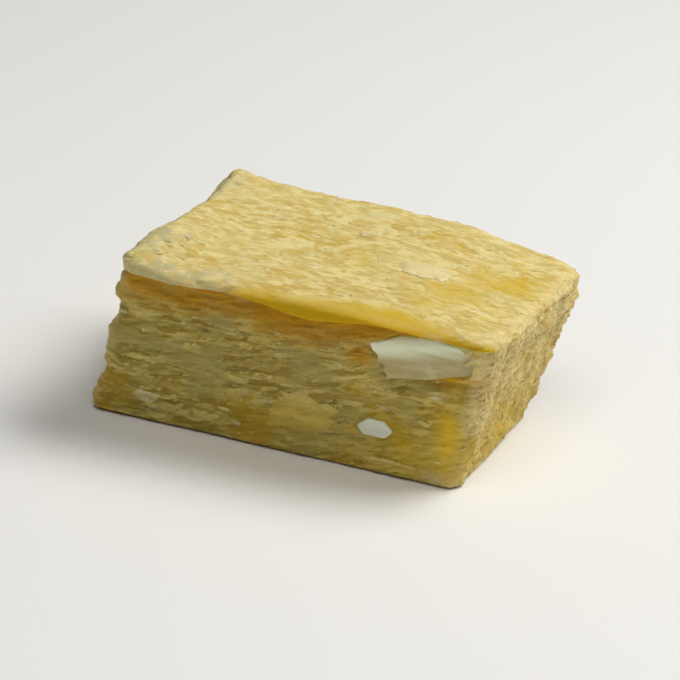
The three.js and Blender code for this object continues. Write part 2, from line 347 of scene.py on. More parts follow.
def chip_frame():
    """The place of the large almond chip: its own z axis points out of the front."""
    place = Matrix.Translation(Vector(CHIP_PLACE) + Vector(TO_BASE_MIDDLE))
    turn = Matrix.Rotation(CHIP_TURN, 4, "Z") @ Matrix.Rotation(-CHIP_TILT, 4, "Y")
    return place @ turn @ Matrix.Rotation(math.pi / 2 + CHIP_LEAN, 4, "X")


def inside_outline(u, v, outline):
    """How far places lie inside an outline: less than 0 outside it."""
    here = np.stack([u, v], -1)
    nearest = np.full(u.shape, np.inf)
    crossings = np.zeros(u.shape, int)
    for start, end in zip(outline, np.roll(outline, -1, 0)):
        edge = end - start
        share = np.clip(((here - start) @ edge) / (edge @ edge), 0, 1)
        nearest = np.minimum(nearest, np.linalg.norm(here - start - share[..., None] * edge, axis=-1))
        spans = (start[1] > v) != (end[1] > v)
        rise = edge[1] if edge[1] else NEARLY_NOTHING
        crossings += spans & (u < start[0] + (v - start[1]) * edge[0] / rise)
    return np.where(crossings % 2 == 1, nearest, -nearest)


# Shapes into pieces


def piece_from(name, points, faces, material, node):
    """A smooth mesh piece from points in millimetres, which rides on the body and stands for a solid."""
    mesh = bpy.data.meshes.new(name)
    mesh.from_pydata((np.asarray(points) * MM).tolist(), [], faces)
    mesh.validate()
    mesh.shade_smooth()
    mesh.materials.append(material)
    return add_piece(name, mesh, node)


def add_piece(name, mesh, node):
    """Puts a finished mesh in the scene."""
    piece = bpy.data.objects.new(name, mesh)
    bpy.context.scene.collection.objects.link(piece)
    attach(piece, BODY)
    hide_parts(node)
    return piece


def store(mesh, numbers):
    """Keeps numbers or directions for a mesh's points, for its material and for what is strewn on it."""
    for name, values in numbers.items():
        kind, field = ("FLOAT", "value") if values.ndim == 1 else ("FLOAT_VECTOR", "vector")
        layer = mesh.attributes.new(name, kind, "POINT")
        layer.data.foreach_set(field, np.ascontiguousarray(values, np.float32).ravel())


def baked(maker, name):
    """The plain mesh that an object's modifiers make. The object itself goes."""
    bpy.context.scene.collection.objects.link(maker)
    depsgraph = bpy.context.evaluated_depsgraph_get()
    mesh = bpy.data.meshes.new_from_object(maker.evaluated_get(depsgraph))
    source = maker.data
    bpy.data.objects.remove(maker)
    bpy.data.meshes.remove(source)
    mesh.name = name
    return mesh


def ring_band(low, high, count):
    """Squares between two rings of points, each ring given by the index of its first point."""
    column = np.arange(count)
    following = np.roll(column, -1)
    return np.stack([low + column, low + following, high + following, high + column], -1)


# Block


def ring_places():
    """The places of the columns round the block, from its front left corner on to the right."""
    along = np.linspace(-1, 1, COLUMNS_ALONG + 1)[:-1]
    across = np.linspace(-1, 1, COLUMNS_ACROSS + 1)[:-1]
    one, other = np.ones_like(along), np.ones_like(across)
    a = np.concatenate([along, other, -along, -other])
    b = np.concatenate([-one, across, one, -across])
    return a, b


def row_heights(a):
    """The heights of the rows up each column: they crowd at the underside of the crust."""
    underside = crust_underside(a)
    low, high = underside - LIP_EDGE, underside + LIP_EDGE
    side = np.linspace(0, 1, SIDE_ROWS, endpoint=False)[:, None] * low
    edge = low + np.linspace(0, 1, EDGE_ROWS)[:, None] * (high - low)
    crust = high + np.linspace(0, 1, CRUST_ROWS + 1)[1:, None] * (1 - high)
    return np.concatenate([side, edge, crust])


class BlockGrid:
    """The block's points: a ring of columns for each row, the inside of the top, and the bottom's rings."""

    def __init__(self):
        ring_a, ring_b = ring_places()
        heights = row_heights(ring_a)
        self.rows, self.columns = heights.shape
        inner_a, inner_b = np.meshgrid(
            np.linspace(-1, 1, COLUMNS_ALONG + 1)[1:-1],
            np.linspace(-1, 1, COLUMNS_ACROSS + 1)[1:-1],
        )
        base = np.array(BOTTOM_RINGS)[:, None]
        self.a = np.concatenate([np.tile(ring_a, self.rows), inner_a.ravel(), (base * ring_a).ravel()])
        self.b = np.concatenate([np.tile(ring_b, self.rows), inner_b.ravel(), (base * ring_b).ravel()])
        flat = np.zeros(base.size * self.columns)
        self.c = np.concatenate([heights.ravel(), np.ones(inner_a.size), flat])
        self.side_count = heights.size
        self.top_count = inner_a.size
        self.points, self.facing = surface(self.a, self.b, self.c)
        self.mark_zones()

    def mark_zones(self):
        """How much each point belongs to each side, the top, the lip, the hollow under it and the rim."""
        self.front, self.back, self.left, self.right = side_shares(self.facing)
        self.upward = np.maximum(0, self.facing[:, 2])
        underside = crust_underside(self.a)
        reach = RECESS_REACH / HEIGHT
        in_crust = smooth(self.c, underside - LIP_EDGE, underside + LIP_EDGE)
        self.lip = self.front * in_crust * (1 - self.upward**2) * (1 - smooth(self.a, *LIP_FACE_ENDS))
        up_the_lip = (self.c - underside) * HEIGHT + (self.b + 1) * HALF_SIZE[1]
        band = GOLD_BAND + GOLD_BAND_SWELL * smooth(self.a, *GOLD_BAND_WIDENS)
        ending = 1 - GOLD_BAND_LOSS * smooth(self.a, *GOLD_BAND_ENDS)
        band = band * smooth(self.a, *GOLD_BAND_STARTS) * ending
        waver = GOLD_BAND_WAVER * grain(self.a * 9, self.b * 6, 14)
        near = np.clip(self.front + self.upward, 0, 1) * in_crust
        band = np.maximum(band, NEARLY_NOTHING)
        fade = 1 - smooth(up_the_lip + waver, 0.35 * band, 1.3 * band)
        self.gold_band = near * fade * smooth(band, 0.3, 0.8)
        # The hollow under the lip, and a strip right under it, carry painted shade and the painted glow of
        # light through the lip
        deep = smooth(self.c, underside - HOLLOW_PAINTED_SHADE_REACH * reach, underside - 0.2 * reach)
        strip = smooth((self.c - underside) * HEIGHT, -PAINTED_GLOW_STRIP, -0.4 * PAINTED_GLOW_STRIP)
        under_lip = self.front * (1 - in_crust) * lip_run(self.a)
        self.hollow = under_lip * deep
        self.painted_glow_strip = under_lip * strip
        self.rim = smooth(self.c, RIM_FROM, 1) * (1 - self.upward**4)

    def top_indices(self):
        """The index of every point of the top, its border taken from the highest ring."""
        n, m = COLUMNS_ALONG, COLUMNS_ACROSS
        grid = np.empty((m + 1, n + 1), int)
        grid[1:-1, 1:-1] = self.side_count + np.arange(self.top_count).reshape(m - 1, n - 1)
        ring = (self.rows - 1) * self.columns + np.arange(self.columns)
        grid[0, :n] = ring[:n]
        grid[:m, n] = ring[n : n + m]
        grid[m, :0:-1] = ring[n + m : 2 * n + m]
        grid[:0:-1, 0] = ring[2 * n + m :]
        return grid

    def faces(self):
        """Squares over the sides, the top and the rounded rim of the bottom, and one face under it."""
        top = self.top_indices()
        squares = [np.stack([top[:-1, :-1], top[:-1, 1:], top[1:, 1:], top[1:, :-1]], -1).reshape(-1, 4)]
        starts = [row * self.columns for row in range(self.rows)]
        rows = [ring_band(low, high, self.columns) for low, high in zip(starts, starts[1:])]
        outer = 0
        for ring in range(len(BOTTOM_RINGS)):
            inner = self.side_count + self.top_count + ring * self.columns
            squares.append(ring_band(inner, outer, self.columns))
            outer = inner
        faces = np.concatenate(rows + squares).tolist()
        faces.append((outer + np.arange(self.columns)[::-1]).tolist())
        return faces


def lay_over(relief, tone, near, lift, depth, shade):
    """Lays one shred or flake over what lies there already, where it stands higher."""
    over = lift > relief[..., near]
    relief[..., near] = np.where(over, lift, relief[..., near])
    tone[..., near] = np.where(over & (lift > 0.25 * depth), shade, tone[..., near])


def lay_shreds(grid, settings, random):
    """Fine shreds along the layers of the sides: their relief in millimetres, and a tone for each one."""
    shape = (grid.rows, grid.columns)
    points = grid.points[: grid.side_count].reshape(*shape, 3)
    middle = points[grid.rows // 2, :, :2]
    steps = np.linalg.norm(np.roll(middle, -1, 0) - middle, axis=-1)
    run = np.cumsum(steps) - steps
    around = steps.sum()
    level = layer_level(points[..., 0], points[..., 2])
    relief = np.zeros(shape)
    tone = np.full(shape, 0.5)
    lowest, highest = level.min(), level.max()
    for _ in range(settings.shred_count):
        place, height = random.uniform(0, around), random.uniform(lowest, highest)
        half_length = settings.shred_length / MM * (0.15 + 0.85 * random.uniform() ** 2) / 2
        half_width = settings.shred_width / MM * random.uniform(0.3, 1.0) / 2
        depth = settings.shred_depth / MM * random.uniform(0.15, 1.0)
        slope, lean = random.normal(0, SHRED_SLOPE), random.uniform(-SHRED_LEAN, SHRED_LEAN)
        shade = random.uniform(0, 1)
        away = (run - place + around / 2) % around - around / 2
        near = np.flatnonzero(np.abs(away) < half_length)
        away = away[near]
        ragged = SHRED_RAGGEDNESS * grain(away * 2.2, away * 0 + height * 7, 11)
        across = (level[:, near] - height - slope * away) / half_width + ragged
        edge = 1 - smooth(np.abs(away) / half_length, 0.7, 1)
        lift = depth * edge * (1 - smooth(np.abs(across), 0.65, 1)) * (1 + lean * across)
        lay_over(relief, tone, near, lift, depth, shade)
    return relief.ravel(), tone.ravel()


def lay_pressed_flakes(grid, chosen, settings, random):
    """Flakes and short threads pressed into the top: their relief in millimetres, and a tone for each."""
    x, y = grid.points[chosen, 0], grid.points[chosen, 1]
    relief = np.zeros(x.shape)
    tone = np.full(x.shape, 0.5)
    for _ in range(settings.pressed_count):
        place = random.uniform(x.min(), x.max()), random.uniform(y.min(), y.max())
        half_length = settings.pressed_length / MM * random.uniform(0.2, 1.0) / 2
        half_width = half_length * random.uniform(0.22, 0.6)
        depth = settings.pressed_depth / MM * random.uniform(0.15, 1.0)
        turn, lean = random.normal(0, PRESSED_TURN), random.uniform(-SHRED_LEAN, SHRED_LEAN)
        shade = random.uniform(0, 1)
        near = np.flatnonzero((np.abs(x - place[0]) < half_length) & (np.abs(y - place[1]) < half_length))
        dx, dy = x[near] - place[0], y[near] - place[1]
        u = (dx * math.cos(turn) + dy * math.sin(turn)) / half_length
        v = (dy * math.cos(turn) - dx * math.sin(turn)) / half_width
        reach = np.hypot(u, v) * (1 + PRESSED_RAGGEDNESS * grain(x[near] * 1.9, y[near] * 1.9, 12))
        lift = depth * (1 - smooth(reach, 0.7, 1)) * (1 + lean * u)
        lay_over(relief, tone, near, lift, depth, shade)
    return relief, tone


def blob(points, middle, reach, waver=0.0):
    """A soft spot: 1 at its middle, and 0 a little beyond its reach, its outline moved by the waver."""
    share = (points - (np.array(middle) + TO_BASE_MIDDLE)) / np.array(reach) + waver
    return np.exp(-(share**2).sum(-1))


# How uneven the outlines of spots are, and over what length
SPOT_WAVER = 0.55
SPOT_GRAIN = 2.2

# Spots on the block: the middle, how far they reach each way, and how strong they are
GOLD_SPOTS = (
    ((19.0, 3.8, 19.5), (3.8, 4.2, 3), 0.72),
    ((1.9, -0.2, 20.8), (2.6, 3.2, 3), 0.35),
    ((14.6, -3.0, 20.4), (3.4, 3.4, 3), 0.68),
    ((12.0, -8.5, 20.4), (2.6, 2.6, 3), 0.35),
    ((13.5, -13.5, 3.6), (6.0, 4.0, 5.0), 0.6),
    ((-2.0, -13.8, 3.0), (9.0, 4.0, 3.0), 0.2),
    ((21.5, 2.5, 16.0), (2, 5, 2.0), 0.35),
    ((21.2, 0.0, 4.0), (3.0, 16.0, 5.0), 0.6),
)
# Painted light in gold at the front right edge, where the rounded corner turns to the light
LIT_SPOTS = (((18.0, -13.8, 7.0), (1.5, 3.0, 5.5), 0.95),)
# Amber spots: the one under the lip at the large chip's left end, the one below the chip's right end and the
# one at the front edge of the raised flake on the top are painted shade; the small one by the small chip and
# the faint ones on the top are the sweet's own amber
AMBER_AND_PAINTED_SHADOW_SPOTS = (
    ((6.3, -14.8, 15.6), (1.7, 2.2, 1.5), 0.9),
    ((17.6, -14.6, 14.5), (2.6, 2.2, 0.9), 0.95),
    ((6.4, -13.4, 5.3), (0.6, 1.5, 0.8), 0.8),
    ((11.6, -2.5, 20.4), (2.6, 0.9, 2), 0.45),
    ((18.5, 3.5, 19.5), (3.4, 4.0, 3), 0.15),
    ((12.5, -6.5, 20.4), (4.0, 3.0, 3), 0.12),
)
SPECKLED_SPOTS = (
    ((-20.8, -10.0, 21.5), (3.0, 8.0, 3.0), 0.85),
    ((-15.5, -17.2, 20.6), (5.5, 2.6, 2.0), 1.0),
    ((-20.5, 17.0, 21.5), (2.5, 3.0, 1.2), 0.6),
)
SUGAR_SPOTS = (
    ((-20.6, -10.5, 20.9), (2.2, 7.0, 2.5), 0.3),
    ((-16.0, -18.2, 20.4), (5.0, 1.5, 1.4), 0.4),
    ((21.8, -14.0, 9.0), (2.4, 3.0, 6.0), 0.2),
    ((16.3, -14.6, 12.0), (0.9, 2.0, 0.6), 0.5),
    ((20.9, -14.6, 13.4), (0.9, 2.0, 0.9), 0.5),
    ((15.4, -16.6, 19.9), (1.0, 1.2, 0.7), 0.8),
    ((-21.5, 12.0, 19.5), (2.5, 8.0, 3.0), 0.45),
    ((18.0, -13.2, 0.8), (4.0, 2.0, 1.2), 0.35),
)
CRUMBLY_SPOTS = (((18.0, -12.8, 0.8), (5.0, 2.5, 1.8), 0.6),)
DENTS = (
    ((6.6, -14.8, 16.0), (1.2, 3.0, 1.2), 0.7),
    ((17.0, -14.6, 13.9), (2.2, 3.0, 0.55), 0.5),
    ((-0.1, 6.4, 20.8), (1.6, 0.4, 3), 0.4),
    ((-10.0, 11.0, 20.8), (0.7, 0.5, 3), 0.45),
)


def spots(points, places, unevenness=SPOT_WAVER):
    """The strongest of several spots with uneven outlines at each point."""
    x, y, z = (points / SPOT_GRAIN).T
    waver = unevenness * np.stack([grain(y, x + z, salt) for salt in (16, 17, 18)], -1)
    strengths = [strength * blob(points, middle, reach, waver) for middle, reach, strength in places]
    return np.max(strengths, axis=0)


def moved(points, matrix):
    """Points taken through a matrix."""
    matrix = np.array(matrix)
    return points @ matrix[:3, :3].T + matrix[:3, 3]


def make_room_for_chip(points):
    """Draws the sweet back behind the face of the large chip, so that it closes round the chip's sides.

    Gives the points, how much of each the chip covers, and how much of each lies over the chip's end."""
    local = moved(points, chip_frame().inverted())
    u, v, out = local.T
    margin = inside_outline(u, v, CHIP_OUTLINE)
    slope = np.maximum(0, v - CHIP_SHOULDER_HEIGHT) * math.tan(CHIP_SHOULDER)
    behind = CHIP_PROUD - CHIP_BACKING - slope
    ragged = 0.25 * grain(u / 0.9, v / 0.9, 13) + 0.25 * grain(u / 0.45, v / 0.45, 15)
    buried = smooth(u + 0.5 * v + 3 * ragged, CHIP_BURIED_FROM, CHIP_BURIED_FROM + 0.5)
    covered = smooth(margin + ragged * smooth(v, 0, 1.5), -0.1, 0.35) * (out > -CHIP_DEPTH) * (1 - buried)
    local[:, 2] = np.where(out > behind, out + covered * (behind - out), out)
    over = behind + CHIP_BACKING + CHIP_COVER + 0.6 * ragged
    wrap = buried * smooth(margin, -0.9, 0.1) * (out > -CHIP_DEPTH)
    local[:, 2] += wrap * np.maximum(0, over - local[:, 2])
    return moved(local, chip_frame()), covered, wrap


def block_numbers(grid, tone, covered, wrap):
    """Where the block is gold, amber, sugary, pressed or broken, and where things are strewn on it; the
    amber is mostly painted shade and glow, and the pressed share takes in painted light at the front right
    edge.
    """
    thick = smooth(grid.a, -0.62, -0.3)
    gold = np.maximum(grid.gold_band, spots(grid.points, GOLD_SPOTS))
    # Amber: painted shade and glow under the lip and painted shadow in some spots, with a few spots of the
    # sweet's own amber
    amber = np.maximum(0.85 * grid.hollow, spots(grid.points, AMBER_AND_PAINTED_SHADOW_SPOTS))
    amber = np.maximum(amber, grid.painted_glow_strip)
    white = [0.5 * grid.lip * (1 - thick), 0.2 * grid.rim, spots(grid.points, SUGAR_SPOTS)]
    sugar = np.maximum.reduce(white)
    foot = 1 - smooth(grid.c, 0.0, 0.1)
    shown = (1 - covered) * (grid.facing[:, 2] > -0.2) * (1 - grid.lip)
    flat = np.maximum.reduce([grid.front, grid.back, grid.left]) ** 12
    middle = flat * smooth(grid.c, 0.04, 0.1) * (1 - grid.hollow)
    along, across = np.abs(grid.a), np.abs(grid.b)
    inner = np.maximum(smooth(along, 0.87, 0.8) * (across == 1), smooth(across, 0.82, 0.74) * (along == 1))
    edge = smooth(grid.front * grid.right, 0.1, 0.4)
    crumbly = grid.right * (1 - grid.upward) + 0.15 * foot * grid.front + 0.3 * edge + wrap
    crumbly += spots(grid.points, CRUMBLY_SPOTS)
    hidden = np.clip(grid.back + grid.left, 0, 1)
    # Painted light: the front's right end, where its rounded edge turns to the light, takes the top's paler
    # colours
    lit_edge = smooth(grid.a, 0.86, 0.97) * grid.front * smooth(grid.c, 0.0, 0.5)
    # Shares of the top's colours: the top itself, the back and the left end out of the sides' painted shade,
    # the sweet over the chip's end, and painted light at the front right edge
    paleness = [grid.upward**2, PAINTED_SHADE_LIFT * hidden, 0.75 * wrap, 0.7 * lit_edge]
    return {
        "tone": tone,
        "gold": np.clip(gold, 0, 1),
        "lit": spots(grid.points, LIT_SPOTS, 0.2),
        "amber": np.clip(amber, 0, 1),
        "sugar": np.clip(sugar, 0, 1),
        "speckled": np.clip(spots(grid.points, SPECKLED_SPOTS), 0, 1),
        "pressed": np.maximum.reduce(paleness),
        "broken": grid.right,
        "level": layer_level(grid.points[:, 0], grid.points[:, 2]),
        "strand": strand_directions(grid),
        "crumbly": shown * np.clip(crumbly, 0, 1),
        "flaky": shown * (grid.upward**12 + 0.7 * middle),
        "stringy": shown * middle * inner * smooth(grid.c, 0.9, 0.85),
    }


def strand_directions(grid):
    """The way the strands run: along the layers on the sides, and along the block's length on the top."""
    run = np.cross((0.0, 0.0, 1.0), grid.facing)
    run[:, 2] = run[:, 0] * (LAYER_CLIMB + 2 * LAYER_CLIMB_GAIN * grid.points[:, 0])
    run[np.abs(grid.facing[:, 2]) > 0.7] = (1.0, 0.0, 0.0)
    return run / np.linalg.norm(run, axis=-1, keepdims=True)


def make_block(settings, material):
    """The block: the solid's form on a fine grid, with its shreds, pressed flakes, dents and crumbs."""
    random = np.random.default_rng(settings.seed)
    grid = BlockGrid()
    sides = np.arange(grid.side_count)
    relief = np.zeros(len(grid.points))
    tone = np.full(len(grid.points), 0.5)
    shreds, tone[sides] = lay_shreds(grid, settings, random)
    faces = (grid.front, grid.back, grid.left, grid.right)
    depth = sum(share * face for share, face in zip(SHRED_SHARES, faces)) * smooth(grid.c, 0.0, 0.03)
    relief[sides] = shreds * (depth * (1 - 0.8 * grid.lip))[sides]
    chosen = np.flatnonzero(grid.upward > 0.2)
    pressed, pressed_tone = lay_pressed_flakes(grid, chosen, settings, random)
    upward = grid.upward[chosen]
    relief[chosen] += pressed * upward**2
    tone[chosen] = np.where(upward > 0.6, pressed_tone, tone[chosen])
    x, y, z = grid.points.T
    crumb = grain(y / SMALL_CRUMB_SIZE, z / SMALL_CRUMB_SIZE, 5)
    crumb = crumb + 0.6 * grain(y / SMALLEST_CRUMB_SIZE, z / SMALLEST_CRUMB_SIZE, 6)
    fine = FINE_RELIEF * grain(x / 0.55 + 40, (y + z) / 0.5, 7) * (1 - 0.7 * grid.lip)
    relief += smooth(grid.c, 0, 0.04) * (settings.crumb_relief / MM * grid.right * crumb + fine)
    dents = np.max([sunk * blob(grid.points, middle, reach) for middle, reach, sunk in DENTS], axis=0)
    worn = WORN_CORNER_DEPTH * blob(grid.points, WORN_CORNER, WORN_CORNER_REACH)
    points = grid.points + grid.facing * (relief - dents - worn)[:, None]
    points, covered, wrap = make_room_for_chip(points)
    piece = piece_from("papdi_layers", points, grid.faces(), material, "papdi_block")
    store(piece.data, block_numbers(grid, tone, covered, wrap))


# Almond chips


def chip_mesh(name, outline, bottom, top, place, shoulder_height=None):
    """A chip of almond: its outline given thickness, its shoulder cut, its edges worn, its faces uneven."""
    shape = bmesh.new()
    corners = [shape.verts.new((u, v, bottom)) for u, v in outline]
    base = shape.faces.new(corners)
    grown = bmesh.ops.extrude_face_region(shape, geom=[base])
    raised = [item for item in grown["geom"] if isinstance(item, bmesh.types.BMVert)]
    bmesh.ops.translate(shape, vec=(0, 0, top - bottom), verts=raised)
    if shoulder_height is not None:
        slant = Vector((0, math.sin(CHIP_SHOULDER), math.cos(CHIP_SHOULDER)))
        cut = bmesh.ops.bisect_plane(
            shape,
            geom=shape.verts[:] + shape.edges[:] + shape.faces[:],
            plane_co=(0, shoulder_height, top),
            plane_no=slant,
            clear_outer=True,
        )
        rim = [item for item in cut["geom_cut"] if isinstance(item, bmesh.types.BMEdge)]
        bmesh.ops.edgeloop_fill(shape, edges=rim)
    bmesh.ops.recalc_face_normals(shape, faces=shape.faces[:])
    worn = {"offset": CHIP_EDGE_WEAR, "segments": 3, "profile": 0.6, "affect": "EDGES"}
    bmesh.ops.bevel(shape, geom=shape.edges[:], **worn)
    mesh = bpy.data.meshes.new(name)
    shape.to_mesh(mesh)
    shape.free()
    mesh = remeshed(name, mesh, CHIP_FACE_SIZE)
    local = np.empty(len(mesh.vertices) * 3)
    mesh.vertices.foreach_get("co", local)
    local = local.reshape(-1, 3)
    u, v, w = local.T
    ripple = CHIP_RIPPLE * grain(u / 2.6, v / 0.8, 21)
    ripple = ripple + CHIP_FINE_RIPPLE * grain(u / 0.9, (v + w) / 0.5, 22)
    local[:, 2] += ripple * (w > 0)
    local[:, 1] += CHIP_SIDE_RIPPLE * grain(u / 1.2, w / 0.7, 23)
    mesh.vertices.foreach_set("co", (moved(local, place) * MM).ravel())
    mesh.shade_smooth()
    mesh.update()
    return mesh, local


def remeshed(name, mesh, voxel):
    """A mesh of even small faces over a shape, softened a little."""
    maker = bpy.data.objects.new(name + "_maker", mesh)
    remesh = maker.modifiers.new("even faces", "REMESH")
    remesh.mode = "VOXEL"
    remesh.voxel_size = voxel
    soften = maker.modifiers.new("soften", "SMOOTH")
    soften.factor = 0.5
    soften.iterations = 3
    return baked(maker, name)


def make_almond_chips(material):
    """The large chip in its pocket, and the small one low in the front."""
    back = CHIP_PROUD - CHIP_DEPTH
    jagged = np.concatenate([CHIP_OUTLINE[:-1], CHIP_TEETH])
    large, local = chip_mesh("almond_large", jagged, back, CHIP_PROUD, chip_frame(), CHIP_SHOULDER_HEIGHT)
    corners = np.arange(SMALL_CHIP_CORNERS)
    angles = corners * 2 * np.pi / SMALL_CHIP_CORNERS + 0.2 * np.sin(3 * corners)
    half = np.array(SMALL_CHIP_SIZE) / 2
    outline = np.stack([np.cos(angles), np.sin(angles)], -1) * half
    place = face_frame(*SMALL_CHIP_PLACE)
    small, _ = chip_mesh("almond_small", outline, -SMALL_CHIP_ROOT, SMALL_CHIP_PROUD, place)
    for mesh, node in ((large, "almond_chip"), (small, "papdi_block")):
        mesh.materials.clear()
        mesh.materials.append(material)
        add_piece(mesh.name, mesh, node)
    v = local[:, 1]
    # The large chip is duller at its lower edge and white at its top: painted light from above
    store(large, {"fresh": smooth(v, CHIP_SHOULDER_HEIGHT - 1.0, CHIP_SHOULDER_HEIGHT + 1.0)})
    same = np.ones(len(small.vertices))
    store(small, {"fresh": SMALL_CHIP_FRESHNESS * same, "cool": SMALL_CHIP_COOLNESS * same})


# Torn flakes


class SeededDraw:
    """Random numbers from 0 to 1 that are the same on every run, drawn as the solid's flakes are."""

    def __init__(self, seed):
        self.state = seed

    def __call__(self):
        self.state = (self.state * 1664525 + 1013904223) % 2**32
        return self.state / 2**32


# The flakes that stand out most: place on the unit block, size, turn, how pale and how gold they are
LARGE_FLAKES = (
    ((0.09, -1, 0.265), (8.4, 6.2), 0.25, 0.0, 0.3),
    ((0.36, -0.04, 1), (6.0, 5.4), 0.5, 0.35, 0.0),
    ((-0.05, 0.38, 1), (3.4, 1.8), 0.6, 0.3, 0.0),
    ((-0.72, -1, 0.17), (3.4, 1.8), 0.2, 0.35, 0.0),
    ((0.62, -1, 0.075), (7.0, 1.8), 0.1, 0.1, 0.5),
)

# Smaller flakes are strewn by a rule: the face that u and v run over, how many, and their largest size
STREWN_FLAKES = (
    (lambda u, v: (u, v, 1), 8, 3.4),
    (lambda u, v: (u, 1, 0.5 + 0.45 * v), 6, 4.2),
    (lambda u, v: (-1, u, 0.5 + 0.45 * v), 3, 3.2),
    (lambda u, v: (1, u, 0.5 + 0.42 * v), 5, 2.8),
)
GOLDEN_SHARE = 0.618
POINTS_A_SIDE = 15
FLAKE_RINGS = (0.15, 0.3, 0.45, 0.6, 0.72, 0.83, 0.92, 0.97, 1.0)
FLAKE_NUMBERS = ("tone", "pressed", "broken", "gold", "level", "sugar", "amber")


def flake_outline(width, height, draw, salt):
    """The ragged outline of a torn flake, its corners drawn as the solid's are."""
    corners = []
    for i in range(FLAKE_SIDES):
        angle = (i + 0.5 * draw()) / FLAKE_SIDES * 2 * math.pi
        reach = 1 + FLAKE_UNEVENNESS * (draw() - 0.5)
        corners.append((math.cos(angle) * width * reach / 2, math.sin(angle) * height * reach / 2))
    corners = np.array(corners)
    share = np.linspace(0, 1, POINTS_A_SIDE, endpoint=False)[:, None]
    sides = [start + share * (end - start) for start, end in zip(corners, np.roll(corners, -1, 0))]
    rim = np.concatenate(sides)
    x, y = rim.T
    ragged = grain(x * 0.9, y * 0.9, salt) + grain(x * 2.1, y * 2.1, salt + 1)
    return rim * (1 + FLAKE_RAGGEDNESS * ragged[:, None])


def flake_plate(rim, proud, fringed, salt):
    """A flake's points, their height measured from the face, and its faces: only its head is free."""
    count = len(rim)
    x, y = rim.T
    far = np.abs(rim).max(0)
    free = smooth(y / far[1], -0.7, 0.9)
    fringe = fringed * far[0] * grain(y / FRINGE_PITCH, 0 * x, salt)
    fringe = fringe * smooth(np.abs(x) / far[0], 0.1, 0.5)
    fringe = fringe * smooth(grain(x / 1.5, y / 1.5, salt + 1), -0.5, 0.7)
    rings = []
    for ring in FLAKE_RINGS:
        u, v = x * ring + fringe * ring**5, y * ring
        wave = grain(u / 1.3, v / 0.7, salt) + 0.6 * grain(u / 0.9, v / 0.3, salt)
        height = proud * (FLAKE_CROWN * (1 - ring**2) + ring**2 * free + 0.2 * wave)
        worn = smooth(ring, 0.8, 1.0)
        rings.append(np.column_stack([u, v, height * (1 - 0.75 * worn) - FLAKE_TUCK * worn]))
    rings.append(np.column_stack([rim * 0.9, np.full(count, -FLAKE_ROOT)]))
    points = np.concatenate([[(0, 0, FLAKE_CROWN * proud)], *rings])
    column = np.arange(count)
    faces = np.stack([np.zeros(count, int), 1 + column, 1 + np.roll(column, -1)], -1).tolist()
    for ring in range(len(rings) - 1):
        inner = 1 + ring * count
        faces += ring_band(inner, inner + count, count)[:, (0, 3, 2, 1)].tolist()
    faces.append((1 + (len(rings) - 1) * count + column[::-1]).tolist())
    skirt = np.arange(len(faces)) >= len(faces) - 1 - count
    return points, faces, skirt


def laid_on(tree, points, place):
    """Points laid on a face: their height is measured from what lies under them."""
    out = place.col[2].to_3d()
    laid = []
    for u, v, height in points.tolist():
        over = place @ Vector((u, v, 0))
        found = tree.ray_cast((over + 2 * out) * MM, -out, 4 * MM)[0]
        laid.append((found / MM if found else over) + height * out)
    return np.array(laid)


def strewn_flakes(draw):
    """The smaller flakes that the rule strews: place, outline, turn, how far they stand up, and colour."""
    flakes = []
    for face, count, size in STREWN_FLAKES:
        for i in range(count):
            u = 0.85 * (2 * ((i + 0.5) / count) - 1)
            v = 0.8 * (2 * ((i * GOLDEN_SHARE + 0.1) % 1) - 1)
            width = size * (0.65 + 0.35 * draw())
            height = width * (0.45 + 0.35 * draw())
            turn = math.pi * draw()
            rim = flake_outline(width, height, draw, 40 + len(flakes))
            flakes.append((face(u, v), rim, turn, SMALL_FLAKE_PROUD, (i * GOLDEN_SHARE) % 1, 0.0, 0.0))
    return flakes


